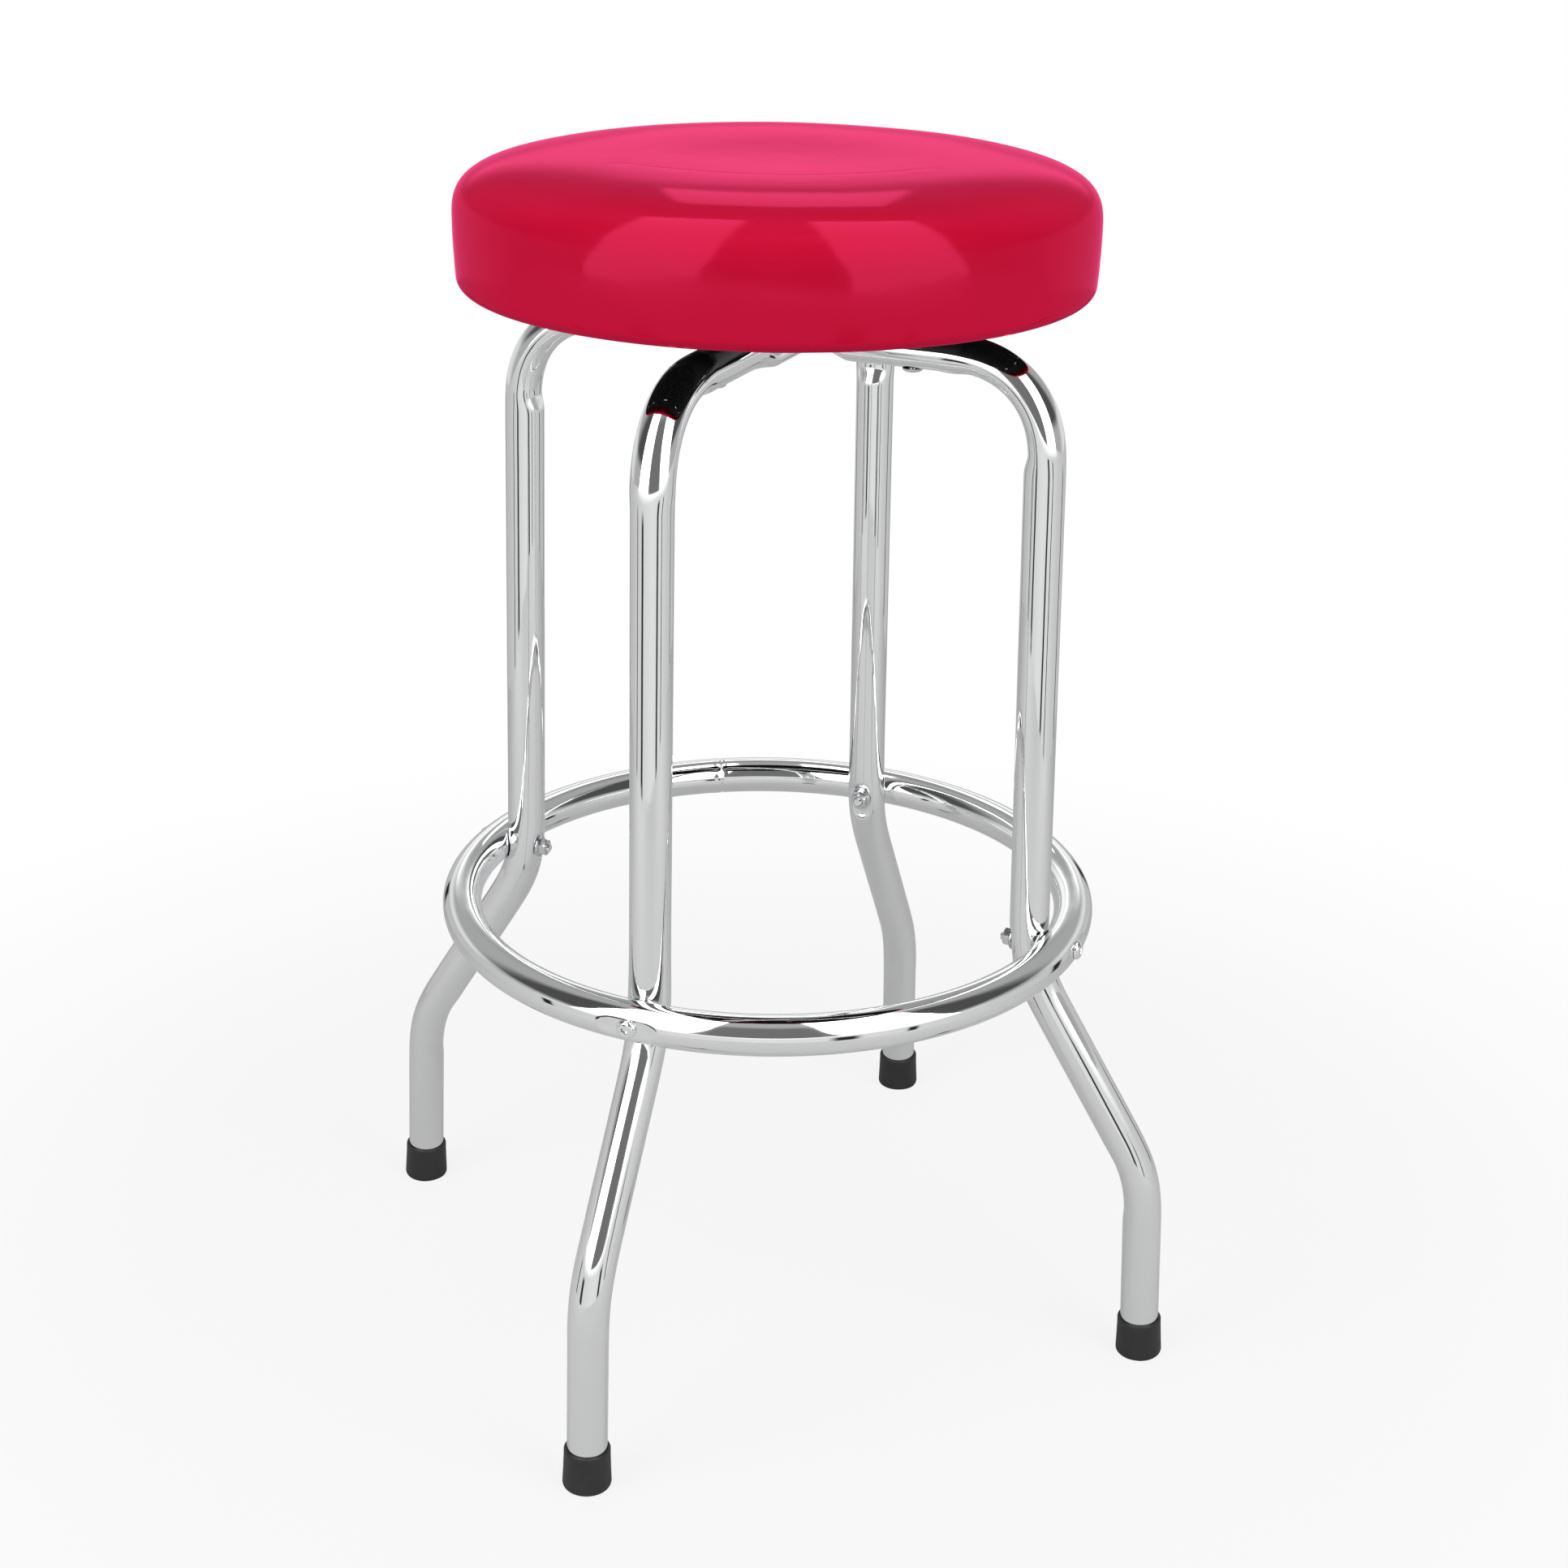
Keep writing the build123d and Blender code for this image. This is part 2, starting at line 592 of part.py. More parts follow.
write("leg_hoop_upper", hoop(True))
write("leg_hoop_lower", around(90, hoop(False)))
write("hoop_bolts", group(LEG_ANGLES.values(), hoop_bolt()))
write("hoop_nuts", group(LEG_ANGLES.values(), hoop_nut()))
write("foot_ring", foot_ring())
for place, angle in LEG_ANGLES.items():
    write("ring_screw_" + place, around(angle, ring_screw()))
    write("ring_nut_" + place, around(angle, ring_nut()))
    write("rubber_foot_" + place, around(angle, rubber_foot()))

write("swivel_base_plate", base_plate())
write("swivel_pivot", pivot())
write("pivot_washer", washer())
write("swivel_balls", balls())
write("ball_retainer", retainer())
write("swivel_top_plate", top_plate())

write("seat_cover", seat_cover())
write("seat_foam", seat_foam())
write("seat_board", seat_board())
write("dust_cover", dust_cover())
write("cover_staples", group([k * 360 / STAPLE_COUNT for k in range(STAPLE_COUNT)], staple()))
write("seat_plate_screws", group(PLATE_HOLE_ANGLES, seat_screw()))
write("seat_tee_nuts", group(PLATE_HOLE_ANGLES, tee_nut()))
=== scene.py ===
# %% [markdown]
# # A swivel bar stool
#
# The stool has a round padded seat of glossy red vinyl, two crossed hoops of chromed tube, a foot ring and
# four rubber feet. The CAD model fixes every size and place. This script gives the pieces their looks: it
# loads the model, makes finer skins for what shows, and sets up the light and the camera of the photograph.

# %% Load the CAD model
import math

import bmesh
import bpy
import numpy as np
from mathutils import Matrix, Vector


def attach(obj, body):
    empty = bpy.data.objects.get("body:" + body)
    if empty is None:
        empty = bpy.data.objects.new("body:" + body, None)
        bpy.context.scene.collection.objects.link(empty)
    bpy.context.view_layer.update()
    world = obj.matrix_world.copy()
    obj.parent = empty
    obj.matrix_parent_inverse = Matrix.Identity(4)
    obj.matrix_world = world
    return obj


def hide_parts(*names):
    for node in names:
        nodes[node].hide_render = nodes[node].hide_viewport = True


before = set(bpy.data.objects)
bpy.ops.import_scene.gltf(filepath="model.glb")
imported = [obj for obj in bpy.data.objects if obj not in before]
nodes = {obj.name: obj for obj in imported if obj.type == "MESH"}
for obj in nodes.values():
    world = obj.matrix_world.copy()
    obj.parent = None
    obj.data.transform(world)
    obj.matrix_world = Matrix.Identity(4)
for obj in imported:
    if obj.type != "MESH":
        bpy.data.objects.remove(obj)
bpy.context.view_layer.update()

# %% [markdown]
# ## The camera
#
# The place, the aim and the lens were worked out from the photograph: from the ends of the four feet, the
# outline of the foot ring and the edges of the legs. The camera's matrix is written out from three
# directions, which is easier to check than three angles.

# %% Camera
PHOTO_PIXELS = 1932
CAMERA_AT = Vector((0.55668, -1.32336, 0.94554))
CAMERA_TURN = 0.3919
CAMERA_DIP = -0.3954
CAMERA_ROLL = 0.0167
LENS_PIXELS = 3067.8
SENSOR_WIDTH = 36.0


def add_object(name, data):
    """A new object in the scene."""
    made = bpy.data.objects.new(name, data)
    bpy.context.scene.collection.objects.link(made)
    return made


def camera_axes():
    """Directions to the right, up and forward of the camera."""
    ahead = Vector((
        -math.sin(CAMERA_TURN) * math.cos(CAMERA_DIP),
        math.cos(CAMERA_TURN) * math.cos(CAMERA_DIP),
        math.sin(CAMERA_DIP),
    ))
    level = Vector((math.cos(CAMERA_TURN), math.sin(CAMERA_TURN), 0))
    above = level.cross(ahead)
    right = math.cos(CAMERA_ROLL) * level + math.sin(CAMERA_ROLL) * above
    up = -math.sin(CAMERA_ROLL) * level + math.cos(CAMERA_ROLL) * above
    return right, up, ahead


camera = add_object("camera", bpy.data.cameras.new("camera"))
right, up, ahead = camera_axes()
turned = Matrix((right, up, -ahead)).transposed().to_4x4()
camera.matrix_world = Matrix.Translation(CAMERA_AT) @ turned
camera.data.sensor_width = SENSOR_WIDTH
camera.data.lens = LENS_PIXELS / PHOTO_PIXELS * SENSOR_WIDTH
bpy.context.scene.camera = camera
print("lens", round(camera.data.lens, 2), "mm")

# %% [markdown]
# ## Writing nodes as sums
#
# A finish is a tree of shader nodes, and a shape that follows a rule can be a tree of geometry nodes.
# Clicking nodes together is slow to read back, so a small class wraps a node's output and lets Python's own
# operators add the Math nodes: `haze * 0.05 + 0.02` makes two nodes and links them. Every other node comes
# from one method, which takes the node's type, its sockets and its settings.

# %% Node helpers
def two_sided(operation, swapped=False):
    """A method that makes one Math node from a wire and another value."""
    def method(wire, other):
        return wire.maths(operation, *((other, wire) if swapped else (wire, other)))
    return method


class Wire:
    """One output of a node, which can be used in sums."""

    def __init__(self, tree, socket):
        self.tree = tree
        self.socket = socket

    def maths(self, operation, *values):
        return self.tree.node("ShaderNodeMath", dict(enumerate(values)), {"operation": operation})

    __add__ = __radd__ = two_sided("ADD")
    __sub__ = two_sided("SUBTRACT")
    __rsub__ = two_sided("SUBTRACT", swapped=True)
    __mul__ = __rmul__ = two_sided("MULTIPLY")
    __truediv__ = two_sided("DIVIDE")
    largest = two_sided("MAXIMUM")

    def size(self):
        return self.maths("ABSOLUTE", self)

    def hypotenuse(self, other):
        return self.maths("SQRT", self * self + other * other)

    def step(self, low, high):
        """0 below low, 1 above high and a smooth rise between them."""
        sockets = {"Value": self, "From Min": low, "From Max": high}
        return self.tree.node("ShaderNodeMapRange", sockets, {"interpolation_type": "SMOOTHSTEP"})

    def beside(self, name):
        """Another output of the same node."""
        return Wire(self.tree, self.socket.node.outputs[name])


class Tree:
    """A node tree that makes its nodes in one way."""

    def __init__(self, tree):
        self.tree = tree
        self.tree.nodes.clear()

    def node(self, kind, sockets=None, settings=None, output=0):
        made = self.tree.nodes.new(kind)
        for name, value in (settings or {}).items():
            if name == "stops":
                ramp = made.color_ramp.elements
                while len(ramp) < len(value):
                    ramp.new(1.0)
                for stop, (place, colour) in zip(ramp, value):
                    stop.position = place
                    stop.color = (*colour, 1.0)
            else:
                setattr(made, name, value)
        for name, value in (sockets or {}).items():
            if isinstance(value, Wire):
                self.tree.links.new(value.socket, made.inputs[name])
            else:
                made.inputs[name].default_value = value
        return Wire(self, made.outputs[output]) if made.outputs else None

    def split(self, where):
        """The X of a vector. Its Y and Z are beside it."""
        return self.node("ShaderNodeSeparateXYZ", {0: where})


WHITE = (1, 1, 1, 1)


class Finish(Tree):
    """The shader nodes of a new material, or of the world."""

    def __init__(self, name, world=None):
        self.material = world or bpy.data.materials.new(name)
        self.material.use_nodes = True
        super().__init__(self.material.node_tree)

    def spot(self):
        """Where a point lies on the object, in metres."""
        return self.node("ShaderNodeTexCoord", output="Object")

    def place(self, stretch=(1, 1, 1)):
        """The spot, stretched for a pattern with a direction."""
        return self.node("ShaderNodeMapping", {"Vector": self.spot(), "Scale": stretch})

    def noise(self, where, scale, detail, roughness=0.5):
        sockets = {"Vector": where, "Scale": scale, "Detail": detail, "Roughness": roughness}
        return self.node("ShaderNodeTexNoise", sockets)

    def ramp(self, value, stops):
        return self.node("ShaderNodeValToRGB", {"Fac": value}, {"stops": stops})

    def bump(self, height, strength, distance, **over):
        sockets = {"Height": height, "Strength": strength, "Distance": distance}
        return self.node("ShaderNodeBump", {**sockets, **over})

    def mix(self, share, first, second):
        return self.node("ShaderNodeMixShader", {0: share, 1: first, 2: second})

    def principled(self, sockets):
        return self.node("ShaderNodeBsdfPrincipled", sockets)

    def emission(self, colour, strength):
        return self.node("ShaderNodeEmission", {"Color": colour, "Strength": strength})

    def done(self, shader):
        """The material, with this shader on its surface."""
        self.node("ShaderNodeOutputMaterial", {"Surface": shader})
        return self.material

    def surface(self, sockets):
        return self.done(self.principled(sockets))

    def glow(self, strength, colour=WHITE):
        return self.done(self.emission(colour, strength))


print("node helpers ready")

# %% [markdown]
# ## Chrome
#
# Plated tube is a mirror, so what makes it look right is what it reflects. The plating itself is not
# perfect: polishing leaves a haze that comes and goes, and the tube under it is a little wavy, which makes
# the reflections wander. Both come from noise, with a low bump.

# %% Chrome finish
def make_chrome():
    finish = Finish("chrome plate")
    where = finish.place()
    haze = finish.noise(where, 26.0, 5.0)
    waves = finish.noise(where, 38.0, 1.0)
    scratches = finish.noise(finish.place((1.0, 1.0, 0.08)), 900.0, 2.0)
    wavy = finish.bump(waves, 0.06, 0.002)
    fine = finish.bump(scratches, 0.01, 0.0002, Normal=wavy)
    return finish.surface({
        "Base Color": (0.86, 0.865, 0.87, 1),
        "Metallic": 1.0,
        "Roughness": haze * 0.05 + 0.02,
        "Normal": fine,
    })


chrome = make_chrome()
print("made", chrome.name)

# %% [markdown]
# ## Vinyl
#
# The seat's cover is a red plastic cloth with a high gloss. On most plastics a highlight is white, but here
# the lights show as pink at every angle, because the clear top layer is dyed too. One Principled shader
# whitens at a slant, so two shaders are mixed: the red cloth without gloss, and a pink mirror whose share
# follows Fresnel's rule. Close up the cloth has the fine pebbled grain that is rolled into it, and the red
# is not quite even. Low on the hem, where it turns in under the seat, a painted shade darkens the red and
# the gloss ends, standing in for the seat's own shade there.

# %% Vinyl finish
# Painted shade on the hem: below these heights the red turns near black and the gloss fades out.
HEM_SHADE_HEIGHTS = (0.6586, 0.6598)
HEM_PAINTED_SHADE = (0.030, 0.0008, 0.002)
DEEP_RED = (0.465, 0.0036, 0.026)
LIGHT_RED = (0.495, 0.0046, 0.031)
MIRROR_PINK = (1.0, 0.10, 0.30, 1)
VINYL_IOR = 1.52


def make_vinyl():
    finish = Finish("red vinyl")
    where = finish.place()
    shade = finish.noise(where, 9.0, 2.0)
    # Painted shade: low on the hem the red ramps to near black and the pink mirror's share drops to nothing.
    outside_painted_shade = finish.split(where).beside("Z").step(*HEM_SHADE_HEIGHTS)
    red = finish.ramp(shade * outside_painted_shade, [(0.0, HEM_PAINTED_SHADE), (0.3, DEEP_RED), (0.7, LIGHT_RED)])
    grain = finish.node("ShaderNodeTexVoronoi", {"Vector": where, "Scale": 1300.0})
    swell = finish.noise(where, 30.0, 2.0)
    pebbled = finish.bump(grain, 0.03, 0.0002, Normal=finish.bump(swell, 0.04, 0.002))
    gloss = grain * 0.04 + 0.07
    both = {"Roughness": gloss, "Normal": pebbled}
    cloth = finish.principled({"Base Color": red, "Specular IOR Level": 0.0, **both})
    shine = finish.node("ShaderNodeBsdfGlossy", {"Color": MIRROR_PINK, **both})
    share = finish.node("ShaderNodeFresnel", {"IOR": VINYL_IOR, "Normal": pebbled})
    return finish.done(finish.mix(share * outside_painted_shade, cloth, shine))


vinyl = make_vinyl()
print("made", vinyl.name)

# %% [markdown]
# ## Rubber, steel, paint, plywood and cloth
#
# The feet are matte rubber with a dusty bloom. The small steel pieces are zinc plated, which is a soft grey
# with cloudy patches. The swivel's plates are painted black, the board is plywood under a black stain that
# lets its grain and plies show a little, and the dust cover is a thin black cloth.

# %% Rubber, steel, paint, plywood and cloth finishes
def make_patchy(name, stops, patches, rough, fine, bump, more=None):
    """A finish with soft patches, which set its colour and vary its roughness, and a fine bump.

    Patches and fine are a noise's scale and detail, rough is a share and a least value, and bump is a
    strength and a depth.
    """
    finish = Finish(name)
    where = finish.place()
    patch = finish.noise(where, *patches)
    return finish.surface({
        "Base Color": finish.ramp(patch, stops),
        "Roughness": patch * rough[0] + rough[1],
        "Normal": finish.bump(finish.noise(where, *fine), *bump),
        **(more or {}),
    })


def make_ball_steel():
    finish = Finish("polished bearing steel")
    haze = finish.noise(finish.place(), 300.0, 3.0)
    return finish.surface({
        "Base Color": (0.66, 0.66, 0.67, 1),
        "Metallic": 1.0,
        "Roughness": haze * 0.06 + 0.05,
    })


def make_plywood():
    finish = Finish("stained plywood")
    grain = finish.noise(finish.place((1.0, 14.0, 6.0)), 22.0, 6.0, 0.65)
    bands = {"Vector": finish.place(), "Scale": 130.0, "Distortion": 1.2, "Detail": 2.0}
    plies = finish.node("ShaderNodeTexWave", bands, {"bands_direction": "Z"})
    mixed = grain * 0.75 + plies * 0.25
    stain = finish.ramp(mixed, [
        (0.2, (0.005, 0.0045, 0.004)), (0.55, (0.009, 0.008, 0.007)), (0.85, (0.016, 0.0145, 0.012)),
    ])
    return finish.surface({
        "Base Color": stain,
        "Roughness": grain * 0.2 + 0.6,
        "Specular IOR Level": 0.1,
        "Normal": finish.bump(grain, 0.2, 0.0005),
    })


def make_dust_cloth():
    finish = Finish("black dust cloth")
    where = finish.place()
    threads = finish.noise(where, 1700.0, 3.0)
    blots = finish.noise(where, 240.0, 2.0)
    black = finish.ramp(blots, [(0.35, (0.0035, 0.0035, 0.004)), (0.7, (0.008, 0.008, 0.0085))])
    return finish.surface({
        "Base Color": black,
        "Roughness": threads * 0.1 + 0.85,
        "Specular IOR Level": 0.06,
        "Normal": finish.bump(threads, 0.4, 0.0004),
    })


rubber = make_patchy(
    "black rubber", [(0.35, (0.0085, 0.0085, 0.009)), (0.75, (0.0135, 0.0135, 0.0135))],
    patches=(70.0, 4.0), rough=(0.2, 0.42), fine=(1400.0, 2.0), bump=(0.12, 0.0003),
)
zinc = make_patchy(
    "zinc plated steel", [(0.3, (0.56, 0.57, 0.58)), (0.7, (0.70, 0.71, 0.72))],
    patches=(160.0, 4.0), rough=(0.18, 0.12), fine=(1100.0, 2.0), bump=(0.05, 0.0002), more={"Metallic": 1.0},
)
black_paint = make_patchy(
    "black paint", [(0.4, (0.006, 0.006, 0.0065)), (0.85, (0.013, 0.0125, 0.012))],
    patches=(60.0, 5.0), rough=(0.2, 0.32), fine=(420.0, 2.0), bump=(0.15, 0.0004),
    more={"Specular IOR Level": 0.25},
)
ball_steel = make_ball_steel()
plywood = make_plywood()
dust_cloth = make_dust_cloth()
print("made", [m.name for m in (rubber, zinc, ball_steel, black_paint, plywood, dust_cloth)])

# %% [markdown]
# ## Skins over rings of points
#
# Most pieces here are round: a lathe shape, or a tube along a line. Both are a row of rings with faces
# between neighbours, so one helper makes them all. It takes millimetres, closes the ends, and turns the skin
# round if its volume comes out negative, so that the faces point outwards.

# %% Skin helper
MILLIMETRE = 0.001


def skin(name, rings, finish, sharp, start=None, end=None, loop=False):
    """A closed mesh over rings of points in millimetres. A start or end point closes that end as a pole."""
    count = len(rings[0])
    vertices = np.concatenate(rings)
    faces = []
    around = np.arange(count)
    beside = (around + 1) % count
    last = len(rings) if loop else len(rings) - 1
    for i in range(last):
        a = i * count
        b = ((i + 1) % len(rings)) * count
        faces += np.stack([a + around, a + beside, b + beside, b + around], 1).tolist()
    for pole, base, order in ((start, 0, 1), (end, (len(rings) - 1) * count, -1)):
        if pole is not None:
            vertices = np.concatenate([vertices, [pole]])
            tip = len(vertices) - 1
            faces += [[tip, base + beside[k], base + k][::order] for k in range(count)]
        elif not loop:
            faces.append([base + k for k in range(count)][::-order])
    mesh = bpy.data.meshes.new(name)
    mesh.from_pydata((vertices * MILLIMETRE).tolist(), [], faces)
    solid = bmesh.new()
    solid.from_mesh(mesh)
    if solid.calc_volume(signed=True) < 0:
        mesh.flip_normals()
    solid.free()
    mesh.shade_smooth()
    mesh.set_sharp_from_angle(angle=math.radians(sharp))
    mesh.materials.append(finish)
    return add_object(name, mesh)


def full_turn(count):
    """Angles that divide a full turn evenly."""
    return np.linspace(0, 2 * math.pi, count, endpoint=False)


def level_ring(distance, height, turn, centre=0.0):
    """Points round an upright axis, which stands at the centre's distance along X."""
    return np.stack([centre + distance * np.cos(turn), distance * np.sin(turn), height + 0 * turn], 1)


def smooth(value, low, high):
    """0 below low, 1 above high and a smooth rise between them."""
    t = np.clip((np.asarray(value, float) - low) / (high - low), 0, 1)
    return t * t * (3 - 2 * t)


def stands_for(piece, body, slot, *nodes):
    """Let a piece ride on a body and hide the CAD nodes it replaces. The slot is not used."""
    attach(piece, body)
    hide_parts(*nodes)
    print(piece.name, len(piece.data.polygons), "faces")


print("skin helper ready")

# %% [markdown]
# ## The padded seat
#
# The cover is drawn tight over moulded foam, so it is one smooth turned form with no seams: a top that is
# nearly flat and dished by less than a millimetre, a full shoulder, a side that draws in slightly, and a hem
# turned in under the board. A cloth simulation would only blur that, so the outline is written as a curve
# and spun. The shoulder is a superellipse, because its roundness changes gradually, and a highlight shows
# any jump. A slow ripple stands for the hand-drawn fit, a sitter has left a fine crease, and the hem is
# gathered into small pleats.

# %% Outline of the seat
SEAT_RADIUS = 184.4
SEAT_TOP = 731.9
SEAT_BOTTOM = 656.5
SEAT_CREST = 95.0
SEAT_DISH = 0.7
SEAT_CROWN = 2.4
SHOULDER_LOW = 694.8
SHOULDER_POWER = 3.6
BARREL = 0.9
SIDE_LOW = 665.9
HEM_ROUND = 7.0
HEM_ARC = 1.4
HEM_TURN = 160.0
HEM_EDGE = 150.0
BOARD_RADIUS = 174.0
BOARD_TOP = 669.5
BOARD_BOTTOM = 657.5
BEVEL_FROM = 158.0
BEVEL_TOP = 660.0
GAP_UNDER = 0.1
GAP_ROUND = 0.2
POCKET_TOP = BOARD_TOP + GAP_ROUND


def seat_outline():
    """Distances from the axis and heights, from the centre of the top to the pocket that holds the board."""
    top = np.linspace(0.04, 1, 72)
    line = [(SEAT_CREST * t, SEAT_TOP - SEAT_DISH * (0.5 + 0.5 * math.cos(math.pi * t))) for t in top]
    span = SEAT_RADIUS - SEAT_CREST
    rise = SEAT_TOP - SHOULDER_LOW
    power = 2 / SHOULDER_POWER
    for turn in np.linspace(0, math.pi / 2, 84)[1:]:
        out = math.sin(turn) ** power
        fall = 1 - SEAT_CROWN / rise * out * out
        line.append((SEAT_CREST + span * out, SHOULDER_LOW + rise * fall * max(math.cos(turn), 0) ** power))
    for t in np.linspace(0, 1, 16)[1:]:
        line.append((SEAT_RADIUS - BARREL * t * t, SHOULDER_LOW + (SIDE_LOW - SHOULDER_LOW) * t))
    turn_in = SEAT_RADIUS - BARREL - HEM_ROUND
    for turn in np.linspace(0, HEM_ARC, 14)[1:]:
        line.append((turn_in + HEM_ROUND * math.cos(turn), SIDE_LOW - HEM_ROUND * math.sin(turn)))
    corner = np.array(line[-1])
    for t in np.linspace(0, 1, 7)[1:]:
        line.append(tuple(corner + (np.array((HEM_TURN, SEAT_BOTTOM)) - corner) * t))
    line += [(distance, SEAT_BOTTOM) for distance in np.linspace(HEM_TURN, HEM_EDGE, 7)[1:]]
    line += [(HEM_EDGE, BOARD_BOTTOM - GAP_UNDER), (BEVEL_FROM, BOARD_BOTTOM - GAP_UNDER)]
    line += [(BOARD_RADIUS + GAP_ROUND, BEVEL_TOP - GAP_UNDER), (BOARD_RADIUS + GAP_ROUND, POCKET_TOP)]
    return line + [(BOARD_RADIUS / 2, POCKET_TOP)]


print("seat outline", len(seat_outline()), "points")


# %% Seat cover and foam
CREASE_AHEAD = 72
CREASE_HALF = 132
CREASE_DEPTH = 0.05
CREASE_WIDTH = 2.2
CREASE_FADE = (60, 128)


def front_crease(x, y):
    """How deep the fine crease is that a sitter has left across the front of the top."""
    across = x * math.cos(CAMERA_TURN) + y * math.sin(CAMERA_TURN)
    ahead = x * math.sin(CAMERA_TURN) - y * math.cos(CAMERA_TURN)
    away = ahead - CREASE_AHEAD * (1 - (across / CREASE_HALF) ** 2)
    return CREASE_DEPTH * np.exp(-(away / CREASE_WIDTH) ** 2) * (1 - smooth(np.abs(across), *CREASE_FADE))


SEAT_STEPS = 288
RIPPLES = [(0.10, 3, 0.4, math.inf), (0.09, 5, 1.9, 30), (0.06, 9, 2.2, 9)]
PLEATS = 38
PLEAT_LIFT = 0.45
PLEAT_FADE = 5


def make_seat():
    turn = full_turn(SEAT_STEPS)
    pleats = np.abs(np.sin(PLEATS * turn + 0.8 * np.sin(5 * turn))) ** 6
    rings = []
    for distance, height in seat_outline():
        shown = smooth(height, SEAT_BOTTOM + 1, SEAT_BOTTOM + 14) * smooth(distance, 95, 150)
        ripple = sum(
            size * np.cos(waves * turn + start + height / pitch) for size, waves, start, pitch in RIPPLES
        )
        out = smooth(distance, 150, 184)
        reach = distance + shown * ripple * out
        lift = shown * ripple * (1 - out)
        if height < SEAT_BOTTOM + 0.01:
            lift = lift + PLEAT_LIFT * pleats * smooth(-distance, -HEM_TURN, PLEAT_FADE - HEM_TURN)
        x, y = reach * np.cos(turn), reach * np.sin(turn)
        if height > SEAT_TOP - 8:
            lift = lift - front_crease(x, y)
        rings.append(np.stack([x, y, height + lift], 1))
    top = (0, 0, SEAT_TOP - SEAT_DISH)
    return skin("padded_seat", rings, vinyl, start=top, end=(0, 0, POCKET_TOP), sharp=50)


seat = make_seat()
stands_for(seat, "seat", "red_vinyl", "seat_cover", "seat_foam")

# %% [markdown]
# ## The bent tubes
#
# Each hoop is one tube from foot to foot. A bevelled curve would give a plain pipe, but real bent tube is
# not plain: the inside of a tight bend goes flat, the crossing is pressed to half its height, and the leg is
# dented where the ring and its nut sit. So the tube is a row of rings along the centre line, and each ring's
# shape is pressed by rule before it is placed. The rings are closer together where the shape changes. A bend
# also doesn't start all at once: its centre line is averaged over a short length, because a sudden start
# shows as a hard edge in the reflections.

# %% Centre line of a leg
TUBE = 12.0
RUN_HEIGHT = 629.0
RING_HEIGHT = 273.0
RING_RADIUS = 193.04
LEG_CORNERS = [(261.76, 5.0), (256.0, 127.0), (173.8, 257.5), (165.2, RUN_HEIGHT), (0.0, RUN_HEIGHT)]
BEND_RADII = [72.0, 72.0, 50.0]
EASE = 28.0


def leg_pieces():
    """The centre line's straight runs and arcs: the length, first point, way there and curve of each."""
    corners = np.array(LEG_CORNERS)
    ways = [(b - a) / np.linalg.norm(b - a) for a, b in zip(corners, corners[1:])]
    pieces = []
    start = corners[0]
    for corner, before, after, radius in zip(corners[1:], ways, ways[1:], BEND_RADII):
        bend = math.atan2(before[0] * after[1] - before[1] * after[0], before @ after)
        cut = radius * math.tan(abs(bend) / 2)
        enter = corner - before * cut
        pieces.append((np.linalg.norm(enter - start), start, before, 0.0))
        pieces.append((radius * abs(bend), enter, before, math.copysign(1 / radius, bend)))
        start = corner + after * cut
    return pieces + [(np.linalg.norm(corners[-1] - start), start, ways[-1], 0.0)]


leg_line = leg_pieces()
ends = np.cumsum([piece[0] for piece in leg_line])
LEG_LENGTH = ends[-1]
BENDS = [(ends[k], ends[k + 1]) for k in (0, 2, 4)]


def on_line(length):
    """The place at a length along the runs and arcs."""
    for k, (span, start, way, curve) in enumerate(leg_line):
        if length <= span or k == len(leg_line) - 1:
            if not curve:
                return start + way * length
            side = np.array([-way[1], way[0]])
            turn = length * curve
            return start + way * math.sin(turn) / curve + side * (1 - math.cos(turn)) / curve
        length -= span


def along(length):
    """The place at a length along the centre line, with each bend eased in and out, and the way there."""
    spread = np.linspace(-EASE, EASE, 13)
    share = EASE + 1e-9 - np.abs(spread)
    share = share / share.sum()
    spread = np.minimum(spread, max(LEG_LENGTH - length, 0))
    near = np.array([on_line(length + d) for d in spread])
    after = np.array([on_line(length + d + 0.5) for d in spread])
    way = share @ (after - near)
    return share @ near, way / np.linalg.norm(way)


print("leg", round(LEG_LENGTH, 1), "mm, bends at", [tuple(round(v, 1) for v in b) for b in BENDS])


# %% Pressing rules of the tube
TUBE_SIDES = 72
BEND_PRESS = (1.0, 0.0, 2.9)
BEND_INSIDE = (-1, 1, -1)
BEND_WIDENS = 0.02
PRESS_IN = (18, 1)
PRESS_OUT = (12, 8)
PRESS_POWER = 1.8
RING_WIDENS = 0.05
RING_SPREAD = 24
NUT_DENT = (7.8, 10.4)
NUT_EDGE = (0.85, 1.25)
NUT_FLAT = 9.6
CROSSING = (26.0, 48.0)
RUN_END = 130
RUN_FADES = ((28, 44), (100, 118))
RUN_PRESS = 1.8
HOOP_BOLT_AT = 85.0
BOLT_DENT = (7.6, 10.5)
BOLT_FLAT = 10.2


def flat_ring(angles):
    """The crossing's section, as high as the tube's radius and with the tube's girth."""
    half = TUBE / 2
    straight = math.pi * TUBE / 4
    walked = TUBE * np.minimum(angles, 2 * math.pi - angles)
    turn = np.clip((walked - straight) / half, 0, math.pi)
    back = np.maximum(walked - straight - math.pi * half, 0)
    sideways = np.minimum(walked, straight) + half * np.sin(turn) - back
    return half * np.cos(turn), np.where(angles > math.pi, -sideways, sideways)


